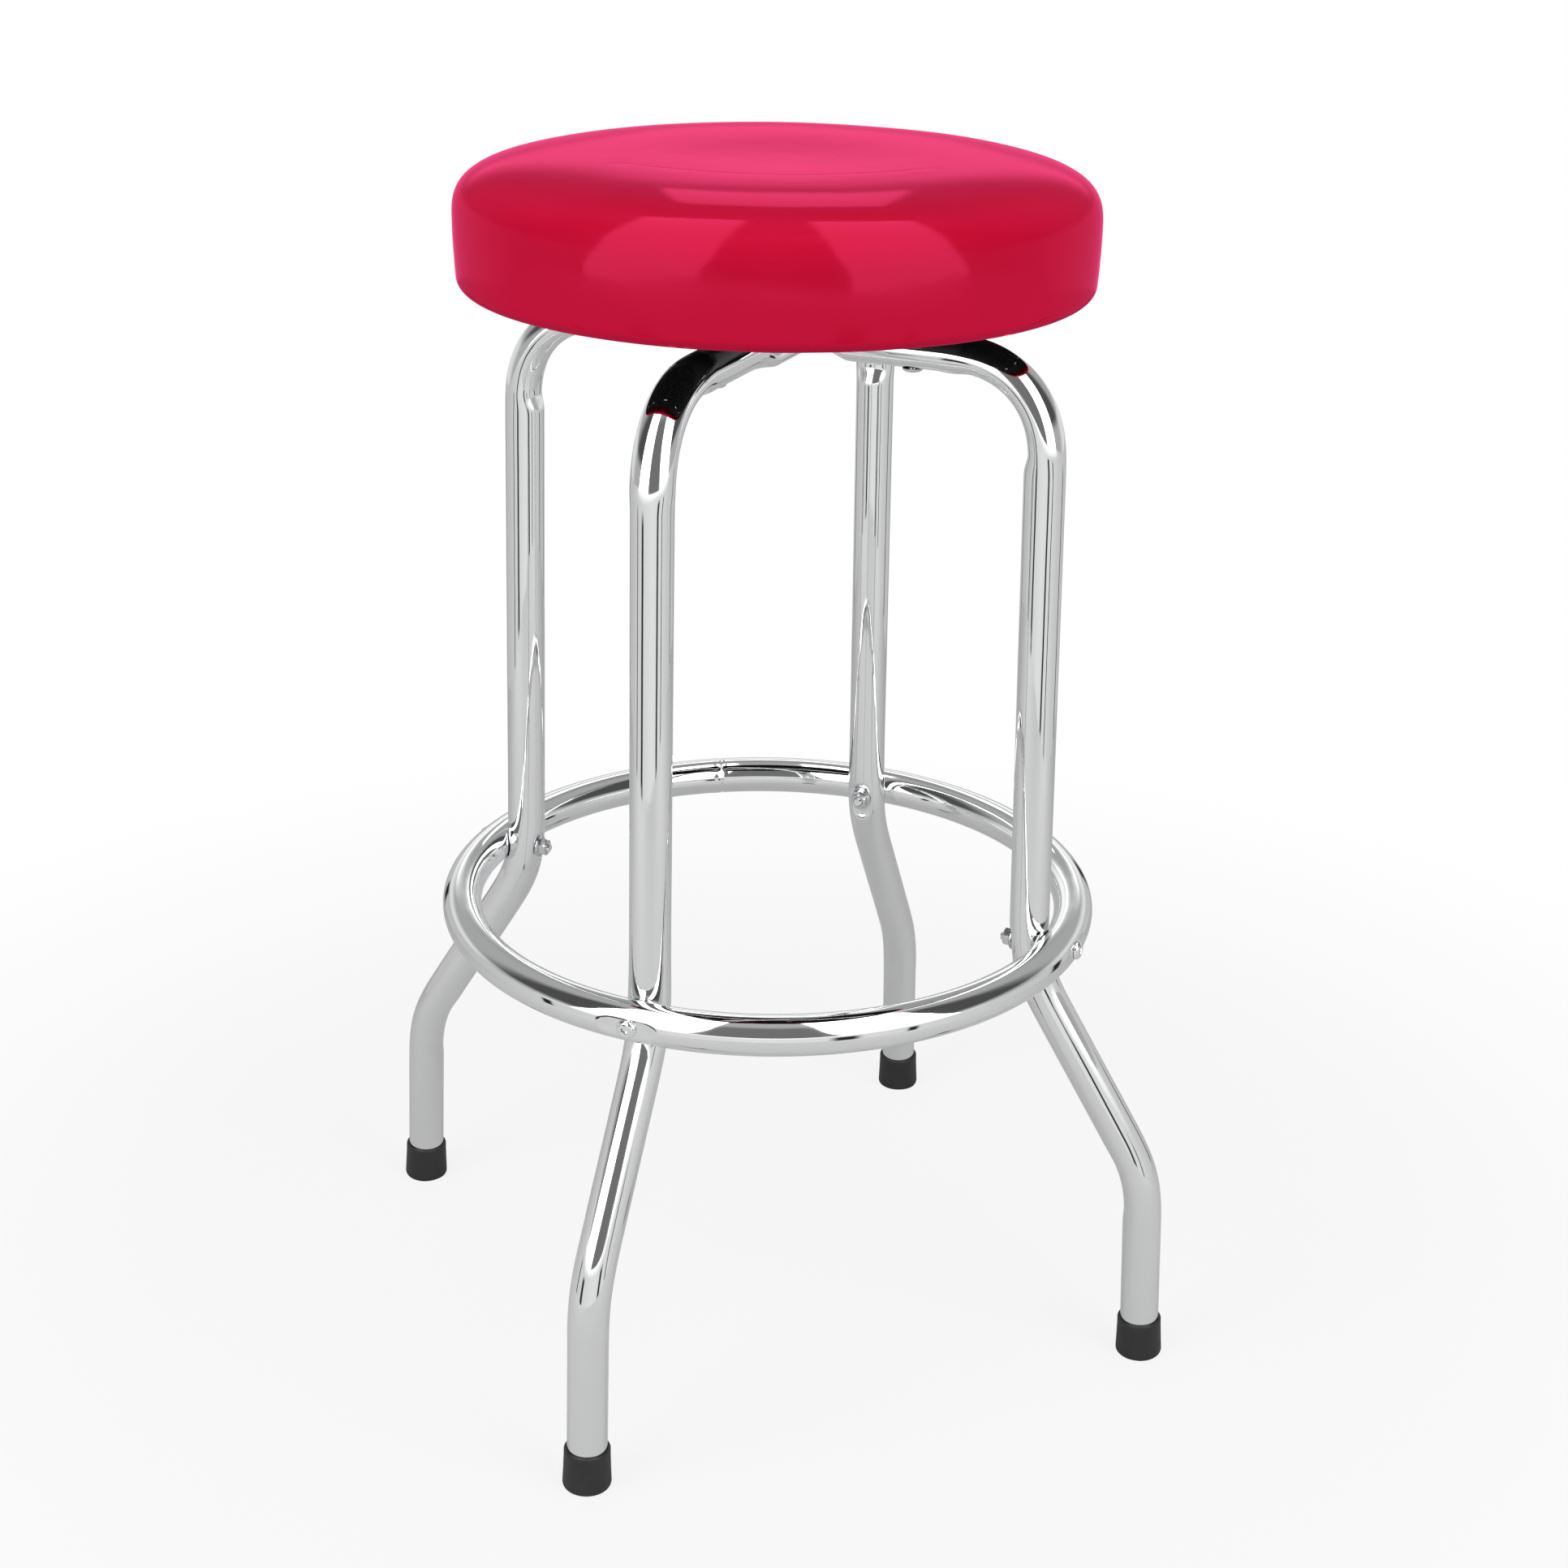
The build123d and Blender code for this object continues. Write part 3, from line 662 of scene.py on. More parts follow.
def pressed_ring(length, place, lift):
    """One ring of the tube, outwards and sideways from the centre line, after its presses."""
    angles = full_turn(TUBE_SIDES)
    outward = TUBE * np.cos(angles)
    sideways = TUBE * np.sin(angles)
    distance, height = place
    for (enter, leave), depth, inner in zip(BENDS, BEND_PRESS, BEND_INSIDE):
        bent = smooth(length, enter - PRESS_IN[0], enter - PRESS_IN[1]) ** PRESS_POWER
        bent = bent * smooth(-length, -leave - PRESS_OUT[0], -leave + PRESS_OUT[1])
        inside = np.where(outward * inner > 0, 1.0, 0.0)
        outward = outward * (1 - inside * bent * depth / TUBE)
        sideways = sideways * (1 + BEND_WIDENS * bent * depth)
    sideways = sideways * (1 + RING_WIDENS * math.exp(-((height - RING_HEIGHT) / RING_SPREAD) ** 2))
    dent = np.hypot(sideways / NUT_DENT[0], (height - RING_HEIGHT) / NUT_DENT[1])
    outward = outward + (1 - smooth(dent, *NUT_EDGE)) * np.maximum(-NUT_FLAT - outward, 0)
    if height > RUN_HEIGHT - 20 and distance < RUN_END:
        if lift > 0:
            pressed = smooth(distance, *RUN_FADES[0]) * (1 - smooth(distance, *RUN_FADES[1]))
            outward = np.where(outward < 0, outward * (1 - RUN_PRESS / TUBE * pressed), outward)
        dent = np.hypot(distance - HOOP_BOLT_AT, sideways)
        outward = outward + (1 - smooth(dent, *BOLT_DENT)) * np.maximum(-BOLT_FLAT - outward, 0)
        flat_out, flat_side = flat_ring(angles)
        share = 1 - float(smooth(distance, *CROSSING))
        outward = (1 - share) * outward + share * (flat_out + lift)
        sideways = (1 - share) * sideways + share * flat_side
    return outward, sideways


def ring_spacing(length):
    """How far apart the rings are here: close at the foot ring, the run's dents and the bends."""
    distance, height = along(length)[0]
    if abs(height - RING_HEIGHT) < 40:
        return 1.0
    if height > RUN_HEIGHT - 4 and distance < 112:
        return 1.4
    if any(enter - 40 < length < leave + 30 for enter, leave in BENDS):
        return 1.5
    return 5.0


def leg_stations():
    stations = [0.0]
    while stations[-1] < LEG_LENGTH - 0.5:
        stations.append(stations[-1] + ring_spacing(stations[-1] + 0.5))
    stations[-1] = LEG_LENGTH
    return stations


print("rings on a leg", len(leg_stations()))


# %% The two hoops
RING_GAP = 0.1
SADDLE_SOFT = 0.9
SADDLE_REACH = 8
TINY = 1e-6


def clear_of_ring(x, y, z):
    """The points of a leg near the foot ring, moved out of the ring's tube, with a soft edge."""
    reach = np.hypot(x, y)
    offset = np.hypot(reach - RING_RADIUS, z - RING_HEIGHT)
    limit = TUBE + RING_GAP
    beyond = 0.5 * (offset - limit + np.sqrt((offset - limit) ** 2 + SADDLE_SOFT ** 2))
    grown = (limit + beyond) / np.maximum(offset, TINY)
    near = offset < TUBE + SADDLE_REACH
    moved = RING_RADIUS + (reach - RING_RADIUS) * grown
    scale = np.where(near, moved / np.maximum(reach, TINY), 1.0)
    return x * scale, y * scale, np.where(near, RING_HEIGHT + (z - RING_HEIGHT) * grown, z)


def make_hoop(name, lift, turn):
    """One hoop of tube along X, turned about the axis, with its crossing moved up or down by lift."""
    c, s = math.cos(turn), math.sin(turn)
    spin = np.array([[c, s, 0], [-s, c, 0], [0, 0, 1]])
    half = []
    for length in leg_stations():
        place, way = along(length)
        outward, sideways = pressed_ring(length, place, lift)
        ring = clear_of_ring(place[0] + outward * way[1], sideways, place[1] - outward * way[0])
        half.append(np.stack(ring, 1))
    rings = half + [ring * (-1, 1, 1) for ring in half[-2::-1]]
    return skin(name, [ring @ spin for ring in rings], chrome, sharp=60)


stands_for(make_hoop("hoop_over", TUBE / 2, 0.0), "frame", "chrome", "leg_hoop_upper")
stands_for(make_hoop("hoop_under", -TUBE / 2, math.pi / 2), "frame", "chrome", "leg_hoop_lower")

# %% [markdown]
# ## The foot ring
#
# The ring is the same tube, rolled and butt-welded at the back. At each leg the screw has pulled the wall
# in, which leaves an eye-shaped flat around its head. The weld was ground and plated over, so only a fine
# notch is left. That is a rule on a torus, so Geometry Nodes make it: a circle swept round a circle, and a
# Set Position that works out for each point how far it is from the nearest leg and from the weld.

# %% Geometry tree helper
class Shape(Tree):
    """A geometry tree with named inputs, the last of them a finish."""

    def __init__(self, name, wanted):
        super().__init__(bpy.data.node_groups.new(name, "GeometryNodeTree"))
        wanted = {**wanted, "Finish": "Material"}
        new_socket = self.tree.interface.new_socket
        self.inputs = {
            k: new_socket(k, in_out="INPUT", socket_type="NodeSocket" + v) for k, v in wanted.items()
        }
        new_socket("Geometry", in_out="OUTPUT", socket_type="NodeSocketGeometry")
        given = self.node("NodeGroupInput")
        self.given = {k: given.beside(k) for k in wanted}

    def plain_mesh(self, name, shape, values):
        """The mesh of a shape for these input values, as an object with no modifier."""
        real = self.node("GeometryNodeRealizeInstances", {"Geometry": shape})
        coated = self.node("GeometryNodeSetMaterial", {"Geometry": real, "Material": self.given["Finish"]})
        self.node("NodeGroupOutput", {"Geometry": coated})
        holder = add_object(name + "_holder", bpy.data.meshes.new(name + "_holder"))
        modifier = holder.modifiers.new(name, "NODES")
        modifier.node_group = self.tree
        for key, value in values.items():
            modifier[self.inputs[key].identifier] = value
        evaluated = holder.evaluated_get(bpy.context.evaluated_depsgraph_get())
        mesh = bpy.data.meshes.new_from_object(evaluated)
        mesh.name = name
        bpy.data.objects.remove(holder)
        return add_object(name, mesh)


print("geometry tree helper ready")


# %% Foot ring
EYE_HALF = (0.0175, 0.0075)
EYE_EDGE = (0.75, 1.15)
EYE_FLAT = 0.01045
WELD_AT = math.radians(123)
WELD_WIDTH = 0.0009
WELD_NOTCH = 0.035
WELD_BEAD = 0.012
QUARTER = math.pi / 2


def bell(wire):
    """A smooth hump, 1 where the wire is 0."""
    return wire.maths("EXPONENT", wire * wire * -1.0)


def make_foot_ring():
    sizes = {
        "Ring radius": RING_RADIUS / 1000, "Tube radius": TUBE / 1000, "Height": RING_HEIGHT / 1000,
        "Flat at": EYE_FLAT, "Weld at": WELD_AT,
    }
    tree = Shape("pressed_ring", dict.fromkeys(sizes, "Float"))
    ring_radius, tube_radius, height, flat_at, weld_at = [tree.given[name] for name in sizes]
    path, profile = [
        tree.node("GeometryNodeCurvePrimitiveCircle", {"Resolution": steps, "Radius": radius})
        for steps, radius in ((960, ring_radius), (48, tube_radius))
    ]
    swept = tree.node("GeometryNodeCurveToMesh", {"Curve": path, "Profile Curve": profile})
    x = tree.split(tree.node("GeometryNodeInputPosition"))
    y, upward = x.beside("Y"), x.beside("Z")
    turn = x.maths("ARCTAN2", y, x)
    outward = x.hypotenuse(y) - ring_radius
    from_leg = turn.maths("FLOORED_MODULO", turn + QUARTER / 2, QUARTER) - QUARTER / 2
    walked = from_leg * (ring_radius + tube_radius) / EYE_HALF[0]
    eye = walked.hypotenuse(upward / EYE_HALF[1])
    pressed = outward - (1 - eye.step(*EYE_EDGE)) * (outward - flat_at).largest(0.0)
    from_weld = (turn - weld_at) * ring_radius / WELD_WIDTH
    shrink = 1 - WELD_NOTCH * bell(from_weld) + WELD_BEAD * bell(from_weld / 3.0 - 1.3)
    reach = ring_radius + pressed * shrink
    moved = tree.node("ShaderNodeCombineXYZ", {
        0: reach * turn.maths("COSINE", turn),
        1: reach * turn.maths("SINE", turn),
        2: upward * shrink + height,
    })
    shaped = tree.node("GeometryNodeSetPosition", {"Geometry": swept, "Position": moved})
    soft = tree.node("GeometryNodeSetShadeSmooth", {"Geometry": shaped, "Shade Smooth": True})
    return tree.plain_mesh("foot_ring_tube", soft, {**sizes, "Finish": chrome})


stands_for(make_foot_ring(), "frame", "chrome", "foot_ring")

# %% [markdown]
# ## What repeats round the axis
#
# Each leg has the same screw, nut, bolt and foot, and the hem has a ring of staples. One sample of each is
# made, and a small Geometry Nodes tree turns copies of it about the stool's axis. The tree ends in Realize
# Instances, because the finished piece has to be a plain mesh.

# %% Copies round the axis
def repeat_round(name, sample, copies, finish):
    """Copies of a sample piece about the stool's axis, as one plain mesh."""
    tree = Shape(name + "_round", {"Piece": "Object", "Copies": "Int"})
    points = tree.node("GeometryNodeMeshLine", {"Count": tree.given["Copies"], "Offset": (0, 0, 0)})
    piece = tree.node("GeometryNodeObjectInfo", {"Object": tree.given["Piece"]}, output="Geometry")
    turn = tree.node("GeometryNodeInputIndex") * (2 * math.pi) / tree.given["Copies"]
    spin = tree.node("FunctionNodeAxisAngleToRotation", {"Axis": (0, 0, 1), "Angle": turn})
    copied = tree.node(
        "GeometryNodeInstanceOnPoints", {"Points": points, "Instance": piece, "Rotation": spin},
    )
    done = tree.plain_mesh(name, copied, {"Piece": sample, "Copies": copies, "Finish": finish})
    bpy.data.objects.remove(sample)
    return done


def at_legs(start):
    """The names of the CAD nodes at the four legs."""
    return [start + place for place in ("front_right", "back_right", "back_left", "front_left")]


LEGS = len(at_legs(""))
print("copies go round to", at_legs(""))

# %% [markdown]
# ## Screws and nuts of the foot ring
#
# The ring is held by button-head screws with a hexagon socket, and flanged nuts on the legs' inner sides.
# Both are lathe shapes whose rings change from round to hexagonal: a hexagon's radius is a rule of the
# angle, and a nut's chamfer is the smaller of that radius and a cone's.

# %% Screws and nuts
SIDES = 48
SHANK = 2.95
SCREW_TIP = 155.9
SCREW_SEAT = 203.54
SCREW_EDGE = SCREW_SEAT + 0.7
SCREW_FACE = SCREW_SEAT + 3.3
SOCKET = 4.0
NUT_SEAT = 163.84
NUT_FLATS = 10.0
NUT_CREST = 5.2
NUT_DEPTH = 6.0


def hexagon(flats):
    """The radius of a hexagon at each of the lathe's angles."""
    return flats / 2 / np.cos((full_turn(SIDES) + math.pi / 6) % (math.pi / 3) - math.pi / 6)


def outward_rings(steps):
    """Rings of a lathe shape along +X at the foot ring's height, from steps of distance and radius."""
    turn = full_turn(SIDES)
    across, up = np.cos(turn), np.sin(turn)
    rings = []
    for distance, radius in steps:
        rings.append(np.stack([distance + 0 * turn, radius * across, RING_HEIGHT + radius * up], 1))
    return rings


def make_screw():
    steps = [(SCREW_TIP, 2.3)]
    steps += [(SCREW_TIP + 0.4 + k * 0.5, SHANK - 0.28 * (k % 2)) for k in range(1, 12)]
    steps += [(163.0, SHANK), (SCREW_SEAT, SHANK)]
    steps += [(SCREW_SEAT, 5.85), (SCREW_SEAT + 0.15, 6.0), (SCREW_EDGE, 6.0)]
    for turn in np.linspace(0, 1, 12)[1:]:
        bend = turn * math.pi / 2
        steps.append((SCREW_EDGE + 2.6 * math.sin(bend), 2.9 + 3.1 * math.cos(bend)))
    steps += [(SCREW_FACE, hexagon(SOCKET + 0.3)), (SCREW_FACE - 0.25, hexagon(SOCKET))]
    steps.append((SCREW_SEAT + 1.3, hexagon(SOCKET)))
    tip, socket = (SCREW_TIP, 0, RING_HEIGHT), (SCREW_SEAT + 1.0, 0, RING_HEIGHT)
    return skin("ring_screw_sample", outward_rings(steps), chrome, start=tip, end=socket, sharp=32)


def make_nut():
    rounds = [(0, 3.0), (0, 6.9), (0.25, 7.1), (0.8, 7.1), (1.5, 6.2)]
    rounds.append((1.6, np.minimum(hexagon(NUT_FLATS), 5.9)))
    for depth in np.linspace(1.8, NUT_DEPTH, 12):
        cone = 5.75 - max(depth - NUT_CREST, 0) * 1.4
        rounds.append((depth, np.minimum(hexagon(NUT_FLATS), cone)))
    rounds += [(NUT_DEPTH, 3.5), (NUT_DEPTH - 0.6, 3.02)]
    steps = [(NUT_SEAT - depth, radius) for depth, radius in rounds]
    return skin("ring_nut_sample", outward_rings(steps), zinc, loop=True, sharp=32)


screws = repeat_round("ring_screws", make_screw(), LEGS, chrome)
nuts = repeat_round("ring_nuts", make_nut(), LEGS, zinc)
stands_for(screws, "frame", "chrome", *at_legs("ring_screw_"))
stands_for(nuts, "frame", "zinc_steel", *at_legs("ring_nut_"))

# %% [markdown]
# ## Bolts under the hoops
#
# Dome-headed bolts come up through the flat dents under the tops of the hoops and hold the swivel's base
# plate. Seen from below they are smooth low domes.

# %% Hoop bolts
BOLT_LOW = 616.2
BOLT_EDGE = 618.3
BOLT_SEAT = 618.8
BOLT_TIP = 649.3
BOLT_HEAD = 6.0


def make_hoop_bolt():
    steps = []
    for turn in np.linspace(0.12, math.pi / 2, 12):
        steps.append((BOLT_HEAD * math.sin(turn), BOLT_EDGE - (BOLT_EDGE - BOLT_LOW) * math.cos(turn)))
    steps += [(BOLT_HEAD, BOLT_SEAT), (SHANK, BOLT_SEAT), (SHANK, BOLT_TIP - 0.6), (2.3, BOLT_TIP)]
    rings = [level_ring(radius, height, full_turn(40), HOOP_BOLT_AT) for radius, height in steps]
    low, tip = (HOOP_BOLT_AT, 0, BOLT_LOW), (HOOP_BOLT_AT, 0, BOLT_TIP)
    return skin("hoop_bolt_sample", rings, zinc, start=low, end=tip, sharp=35)


bolts = repeat_round("hoop_dome_bolts", make_hoop_bolt(), LEGS, zinc)
stands_for(bolts, "frame", "zinc_steel", "hoop_bolts")

# %% [markdown]
# ## Rubber feet
#
# Each foot is a moulded cup pushed over the tube's end. It has a thin rounded lip, flares a little towards
# the floor, and its lower edge is rounded. The leg leans, so the cup leans with it and its underside is cut
# flat by moving every point under the floor up to it.

# %% Rubber feet
FOOT_AT = 262.0
FOOT_LEAN = math.atan2(6.0, 127.0)
CUP_FLOOR = 5.0
CUP_BORE = 12.05
CUP_LIP = [(24.4, CUP_BORE), (24.85, 12.2), (25.0, 12.7), (24.95, 13.2), (24.6, 13.6), (24.0, 13.76)]


def make_foot():
    turn = full_turn(64)
    c, s = math.cos(FOOT_LEAN), math.sin(FOOT_LEAN)
    steps = [(CUP_FLOOR, CUP_BORE)] + CUP_LIP
    for t in np.linspace(0, 1, 14)[1:]:
        steps.append((24.0 - 21.8 * t, 13.76 + 0.75 * t ** 1.4))
    for bend in np.linspace(0, math.pi / 2, 7)[1:]:
        steps.append((2.2 - 2.8 * math.sin(bend), 14.51 - 1.9 * (1 - math.cos(bend))))
    rings = []
    for height, radius in steps:
        x = radius * np.cos(turn)
        rings.append(np.stack([
            FOOT_AT + x * c - height * s, radius * np.sin(turn), np.maximum(height * c + x * s, 0),
        ], 1))
    inside = (FOOT_AT - CUP_FLOOR * s, 0, CUP_FLOOR * c)
    return skin("rubber_foot_sample", rings, rubber, start=inside, end=(FOOT_AT, 0, 0), sharp=50)


feet = repeat_round("rubber_feet", make_foot(), LEGS, rubber)
stands_for(feet, "frame", "black_rubber", *at_legs("rubber_foot_"))

# %% [markdown]
# ## Board, dust cover and staples
#
# The board in the seat is a plywood disc with its lower edge planed off, so that the vinyl turns under it in
# a soft line. Below it a thin black cloth hides the board and the hem. It is stretched and stapled, so it is
# nearly flat, with a step where it laps over the hem and slight puckers between the staples.

# %% Board
BOARD_BORE = 17.0


def make_board():
    outline = [(BOARD_BORE, BOARD_BOTTOM), (BEVEL_FROM, BOARD_BOTTOM), (BOARD_RADIUS, BEVEL_TOP)]
    outline += [(BOARD_RADIUS, BOARD_TOP), (BOARD_BORE, BOARD_TOP)]
    rings = [level_ring(distance, height, full_turn(160)) for distance, height in outline]
    return skin("plywood_board", rings, plywood, loop=True, sharp=8)


stands_for(make_board(), "seat", "plywood", "seat_board")

# %% Dust cover and staples
STAPLES = 24
STAPLE_CIRCLE = 160.0
STAPLE_WIRE = (0.5, 0.33)
DUST_THICK = 0.55
DUST_SAG = 0.12
DUST_UPPER = [
    (112, 657.4), (128, 657.4), (146, 657.4), (148, 656.95), (149.8, 656.45),
    (155, 656.45), (160, 656.45), (165, 657.1), (170, 657.8),
]


def make_dust_cover():
    turn = full_turn(240)
    held = 0.5 - 0.5 * np.cos(STAPLES * turn)
    lower = [(distance, height - DUST_THICK) for distance, height in DUST_UPPER[::-1]]
    rings = []
    for distance, height in DUST_UPPER + lower:
        sag = DUST_SAG * held * smooth(distance, 120, 150)
        rings.append(level_ring(distance, height - sag, turn))
    return skin("dust_cloth_ring", rings, dust_cloth, loop=True, sharp=60)


def make_staple():
    """A bent wire with its crown under the dust cover and its legs in the board."""
    half, low, high, bend = 4.15, 655.5, 661.4, 0.5
    left, right, knee = bend - half, half - bend, low + bend
    curl = [(bend * math.cos(t), bend * math.sin(t)) for t in (0.5, 1.05)]
    line = [(-half, high), (-half, knee)] + [(left - c, knee - s) for c, s in curl] + [(left, low)]
    line += [(right, low)] + [(right + s, knee - c) for c, s in curl] + [(half, knee), (half, high)]
    section = [(math.cos(t) * STAPLE_WIRE[0], math.sin(t) * STAPLE_WIRE[1]) for t in full_turn(8)]
    rings = []
    for k, (y, z) in enumerate(line):
        before = np.array(line[max(k - 1, 0)])
        after = np.array(line[min(k + 1, len(line) - 1)])
        way = (after - before) / np.linalg.norm(after - before)
        rings.append(np.array([(STAPLE_CIRCLE + u, y - way[1] * v, z + way[0] * v) for u, v in section]))
    return skin("staple_sample", rings, zinc, sharp=50)


dust = make_dust_cover()
stands_for(dust, "seat", "black_cloth", "dust_cover")
staples = repeat_round("hem_staples", make_staple(), STAPLES, zinc)
stands_for(staples, "seat", "zinc_steel", "cover_staples")

# %% [markdown]
# ## The swivel
#
# The swivel's plates, bearing and screws are plain turned and pressed pieces, so the CAD shapes stay and
# only take the finishes made above.

# %% Finishes of the remaining CAD pieces
ZINC_NODES = [
    "ball_retainer", "swivel_pivot", "pivot_washer", "hoop_nuts", "seat_plate_screws", "seat_tee_nuts",
]
kept = {name: zinc for name in ZINC_NODES}
kept |= {"swivel_top_plate": black_paint, "swivel_base_plate": black_paint, "swivel_balls": ball_steel}
for name, finish in kept.items():
    mesh = nodes[name].data
    mesh.materials.clear()
    mesh.materials.append(finish)
print("finished", sorted(kept))

# %% [markdown]
# ## The studio
#
# The photograph was lit from a white tent: two tall bright panels lean over the stool left and right of the
# camera, low white boards stand round it, and the camera looks in through a dim opening. Chrome and gloss
# need that room to reflect, so it is made of simple glowing cards that only reflections see. The light
# itself comes from soft lamps. The floor and the world are white to the camera, and the floor keeps a faint
# shadow.

# %% Floor and world
FLOOR_HALF = 6
FLOOR_HEIGHT = -0.0002
FLOOR_GREY = (0.60, 0.60, 0.60, 1)
SHADOW_SHARE = 0.16
SHADOW_FADE = (0.35, 1.0)
AMBIENT = 0.44


def make_floor_finish():
    finish = Finish("pale floor")
    seen = finish.node("ShaderNodeLightPath", output="Is Camera Ray")
    x = finish.split(finish.spot())
    far = x.hypotenuse(x.beside("Y")).step(*SHADOW_FADE)
    plain = finish.node("ShaderNodeBsdfDiffuse", {"Color": FLOOR_GREY})
    share = seen * (far * SHADOW_SHARE + (1 - SHADOW_SHARE))
    return finish.done(finish.mix(share, plain, finish.emission(WHITE, 1.0)))


corners = [(x * FLOOR_HALF, y * FLOOR_HALF, FLOOR_HEIGHT) for x, y in ((-1, -1), (1, -1), (1, 1), (-1, 1))]
floor_mesh = bpy.data.meshes.new("floor")
floor_mesh.from_pydata(corners, [], [[0, 1, 2, 3]])
floor_mesh.materials.append(make_floor_finish())
floor = add_object("floor", floor_mesh)

world = bpy.data.worlds.new("white room")
bpy.context.scene.world = world
sky = Finish("white room", world)
shown = sky.node("ShaderNodeLightPath", output="Is Camera Ray")
clear = shown.largest(shown.beside("Is Glossy Ray")).largest(shown.beside("Is Transmission Ray"))
strength = clear * (1 - AMBIENT) + AMBIENT
backdrop = sky.node("ShaderNodeBackground", {"Color": WHITE, "Strength": strength})
sky.node("ShaderNodeOutputWorld", {"Surface": backdrop})
print("floor and world ready")


# %% Card helper
def toward(bearing, distance, height):
    """A point at a bearing in degrees: 0 is on the camera's side of the stool, 90 to the camera's right."""
    turn = math.radians(bearing) + CAMERA_TURN
    return (distance * math.sin(turn), -distance * math.cos(turn), height)


def make_card(name, rows, finish):
    """A card through rows of points in metres, seen only in reflections."""
    count = len(rows[0])
    faces = []
    for i in range(len(rows) - 1):
        for a in range(i * count, i * count + count - 1):
            faces.append([a, a + 1, a + count + 1, a + count])
    mesh = bpy.data.meshes.new(name)
    mesh.from_pydata([point for row in rows for point in row], [], faces)
    mesh.materials.append(finish)
    card = add_object(name, mesh)
    for ray in ("camera", "diffuse", "shadow", "transmission", "volume_scatter"):
        setattr(card, "visible_" + ray, False)


def bearing_on(finish):
    """The bearing of a card's point in degrees, -180 to 180."""
    turned = finish.node("ShaderNodeMapping", {"Vector": finish.spot(), "Rotation": (0, 0, -CAMERA_TURN)})
    x = finish.split(turned)
    return x.maths("ARCTAN2", x, x.beside("Y") * -1.0) * (180 / math.pi)


print("card helper ready")

# %% Low white boards
SCREEN_DISTANCE = 1.25
SCREEN_HEIGHT = 0.475
SCREEN_GAPS = [
    (-44.0, 4.2), (-70.0, 1.8), (24.0, 3.6), (45.0, 1.6), (105.0, 2.4), (150.0, 2.2), (-140.0, 2.2),
]
SCREEN_LEVELS = [
    (0.0, 0.50), (0.22, 0.58), (0.34, 0.70), (0.5, 0.84), (0.60, 0.78), (0.72, 0.64), (1.0, 0.50),
]
GAP_TOP = (0.28, 0.35)
GAP_BLACK = (0.02, 0.02, 0.02, 1)
BRIGHT_EDGE = 0.6
EDGE_RISE = (0.36, SCREEN_HEIGHT)
EDGE_SIDES = (55.0, 80.0)
BEARINGS = np.linspace(-180, 180, 145)


def grey_stops(levels, span=1.0):
    """Stops of a ramp in greys, from places along a span."""
    return [(place / span, (level,) * 3) for place, level in levels]


def make_screen_finish():
    """White boards, bright along the top at the front, with narrow dark gaps between them."""
    finish = Finish("white boards")
    bearing = bearing_on(finish)
    height = finish.split(finish.spot()).beside("Z")
    level = finish.ramp(bearing / 360.0 + 0.5, grey_stops(SCREEN_LEVELS))
    gaps = 0.0 * bearing
    for middle, half in SCREEN_GAPS:
        gaps = gaps.largest(1 - (bearing - middle).size().step(half * 0.6, half * 1.6))
    gaps = gaps * (1 - height.step(*GAP_TOP))
    level = level * (1 + BRIGHT_EDGE * height.step(*EDGE_RISE) * (1 - bearing.size().step(*EDGE_SIDES)))
    dark = finish.node("ShaderNodeMix", {0: gaps, 6: level, 7: GAP_BLACK}, {"data_type": "RGBA"}, output=2)
    return finish.glow(1.0, dark)


tops = SCREEN_HEIGHT - 0.07 * smooth(np.abs(BEARINGS), 70, 110)
rows = [
    [toward(b, SCREEN_DISTANCE, height) for b, height in zip(BEARINGS, heights)]
    for heights in (0 * tops, tops)
]
make_card("white_boards", rows, make_screen_finish())
print("boards", SCREEN_HEIGHT, "m high at", SCREEN_DISTANCE, "m")


# %% Tent with its opening
TENT_RADIUS = 2.4
TENT_HEIGHT = 2.7
WALL_LEVELS = [
    (0.0, 0.65), (0.92, 0.70), (1.00, 1.42), (1.05, 1.42), (1.10, 1.05),
    (1.17, 0.72), (1.24, 0.50), (1.34, 0.40), (2.2, 0.30), (2.5, 0.40),
]
OPENING_LEVEL = 0.18


def make_tent_finish():
    """Grey cloth with a bright band behind the stool, dark shoulders and a dim opening round the camera."""
    finish = Finish("tent cloth")
    height = finish.split(finish.spot()).beside("Z")
    away = bearing_on(finish).size()
    side = away.step(90.0, 118.0)
    behind = away.step(146.0, 164.0)
    raised = height - 0.06 * (1 - away.step(166.0, 177.0))
    wall = finish.ramp(raised / TENT_HEIGHT, grey_stops(WALL_LEVELS, TENT_HEIGHT))
    opening = (1 - away.step(17.0, 25.0)) * (1 - height.step(2.2, 2.55))
    front = 0.45 - 0.37 * away.step(40.0, 60.0) * height.step(0.75, 1.10)
    level = front + 0.34 * side * (1 - behind) + (wall - 0.08) * behind
    return finish.glow(level * (1 - opening) + OPENING_LEVEL * opening)


tent = []
for rise in np.radians(np.linspace(0, 89.9, 31)):
    tent.append([toward(b, TENT_RADIUS * math.cos(rise), TENT_HEIGHT * math.sin(rise)) for b in BEARINGS])
make_card("tent", tent, make_tent_finish())
print("tent", TENT_HEIGHT, "m high")


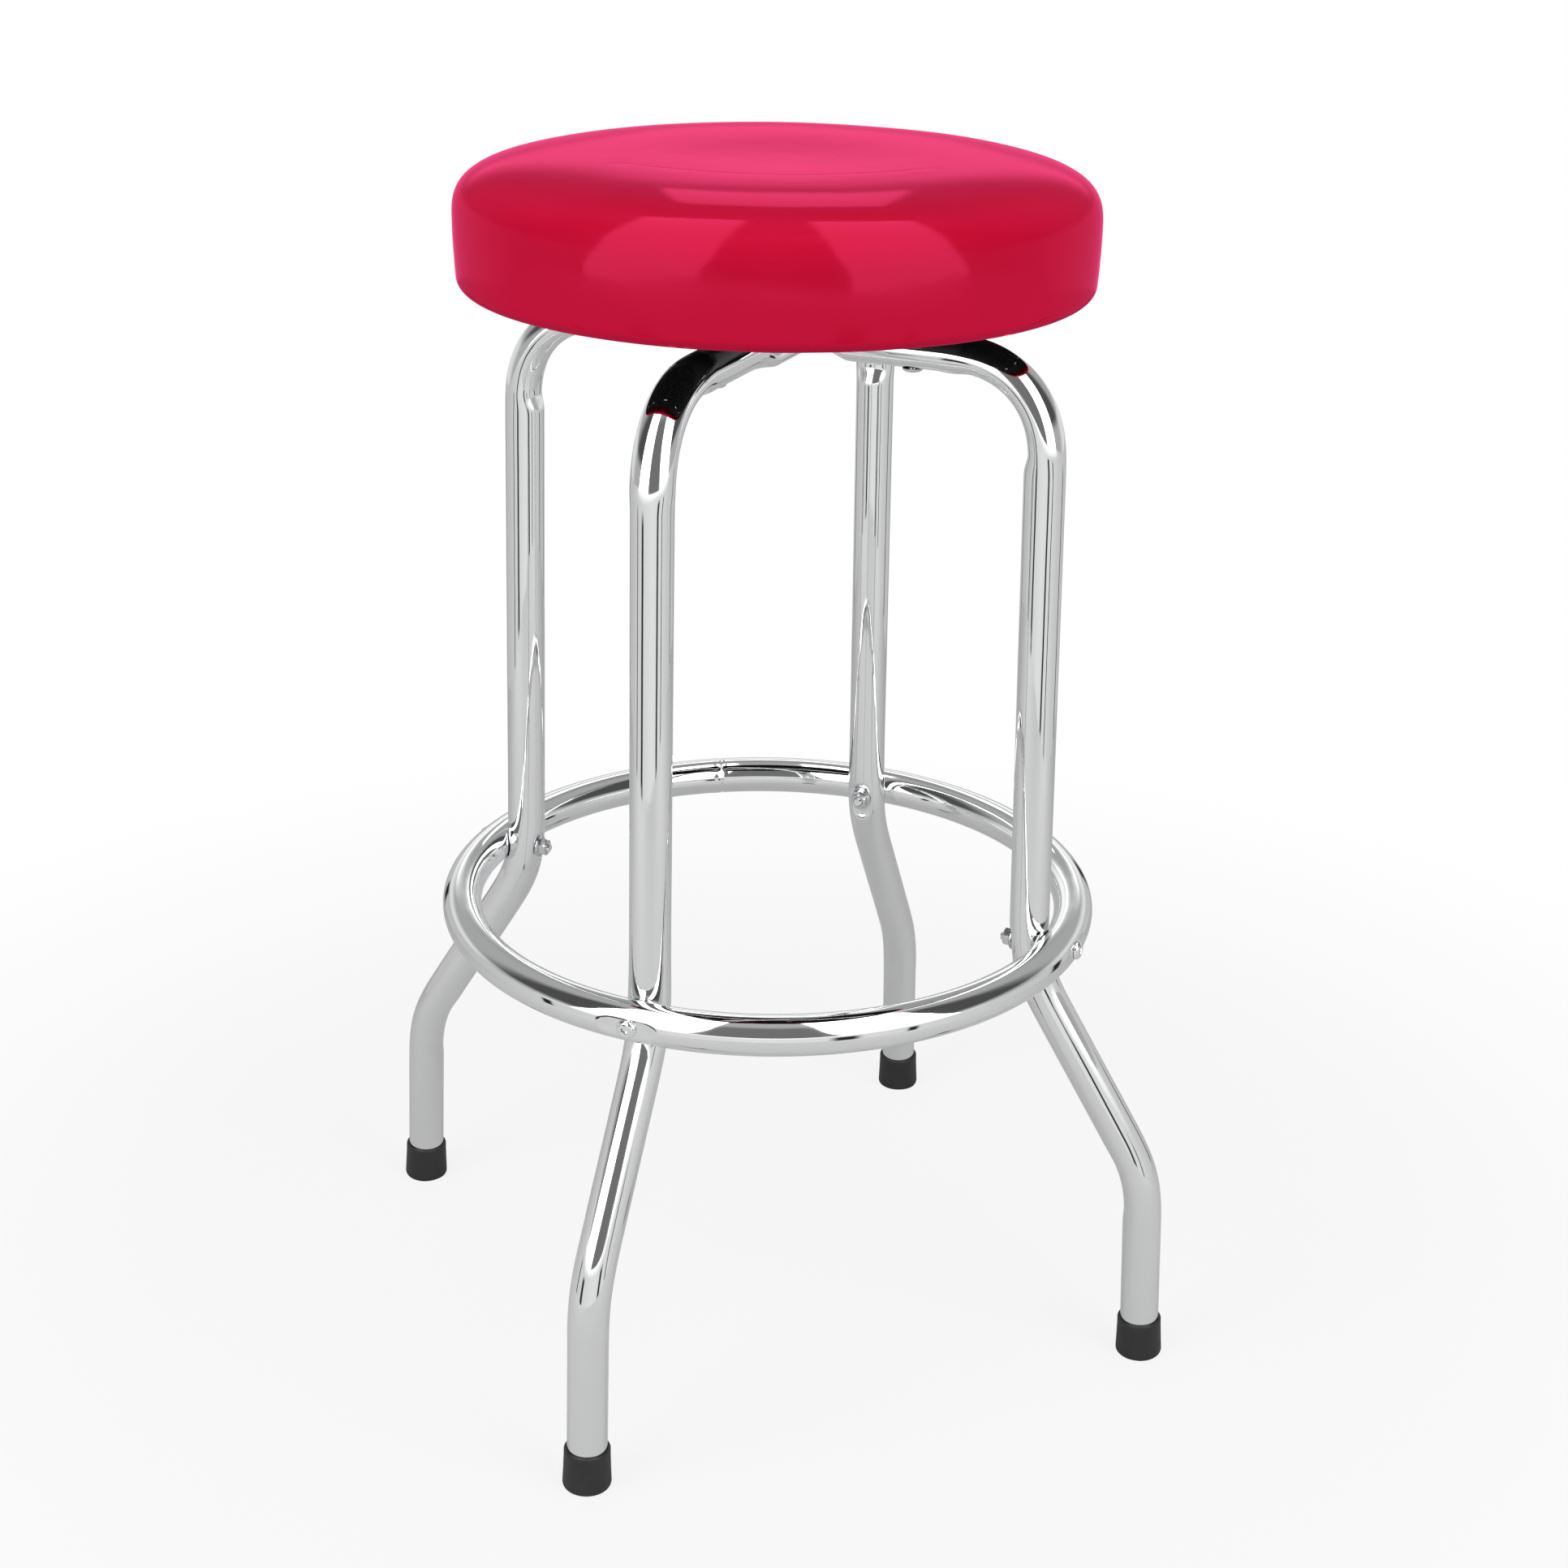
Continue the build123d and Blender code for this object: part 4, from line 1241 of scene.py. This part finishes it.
# %% Bright panels
PANEL_REACH = 1.5
PANEL_MIDDLE = 0.71
PANEL_GLOW = 3.2
PANEL_RISE = [-30, -12, 3, 20, 35, 50, 62, 75, 85, 95, 107, 118]
PANEL_INNER = [27.0, 24.5, 21.0, 18.5, 16.5, 14.3, 12.3, 9.9, 8.3, 6.9, 5.1, 3.7]
PANEL_OUTER = [63.0, 62.0, 60.8, 58.2, 55.2, 51.6, 46.8, 40.8, 35.4, 30.2, 22.9, 17.5]


def panel_rows(side):
    """A panel that arches over the stool: rows of points at one distance from the middle of the seat."""
    rise = np.linspace(PANEL_RISE[0], PANEL_RISE[-1], 60)
    inner = np.interp(rise, PANEL_RISE, PANEL_INNER)
    outer = np.interp(rise, PANEL_RISE, PANEL_OUTER)
    rows = []
    for up, near, far in zip(np.radians(rise), inner, outer):
        row = []
        for lean in np.radians(np.linspace(near, far, 9)):
            ahead = PANEL_REACH * math.cos(lean) * math.cos(up)
            across = side * PANEL_REACH * math.sin(lean)
            height = PANEL_MIDDLE + PANEL_REACH * math.cos(lean) * math.sin(up)
            row.append(toward(math.degrees(math.atan2(across, ahead)), math.hypot(ahead, across), height))
        rows.append(row)
    return rows


STRIP_DISTANCE = 1.6
STRIP_ENDS = [(1.20, 6.2), (1.76, 8.1)]
STRIP_GLOW = 1.4

for side, name in ((-1, "left_panel"), (1, "right_panel")):
    make_card(name, panel_rows(side), Finish(name).glow(PANEL_GLOW))
strip = [
    [toward(180 + turn, STRIP_DISTANCE, height) for turn in (-wide, wide)] for height, wide in STRIP_ENDS
]
make_card("back_strip", strip, Finish("back strip").glow(STRIP_GLOW))


# %% Lamps
def soft_lamp(name, place, aim, width, height, power):
    """A rectangle of light that reflections don't see."""
    lamp = bpy.data.lights.new(name, "AREA")
    lamp.shape = "RECTANGLE"
    lamp.size = width
    lamp.size_y = height
    lamp.energy = power
    box = add_object(name, lamp)
    place = Vector(place)
    turn = (Vector(aim) - place).to_track_quat("-Z", "Y")
    box.matrix_world = Matrix.Translation(place) @ turn.to_matrix().to_4x4()
    box.visible_glossy = False


for side, name, power in ((-1, "left_lamp", 19.0), (1, "right_lamp", 18.5)):
    soft_lamp(name, toward(50 * side, 1.6, 1.3), (0, 0, 0.6), 1.1, 1.8, power)
soft_lamp("top_lamp", (0, 0, 2.6), (0, 0, 0), 1.6, 1.6, 8.0)
bpy.context.scene.view_settings.view_transform = "Standard"
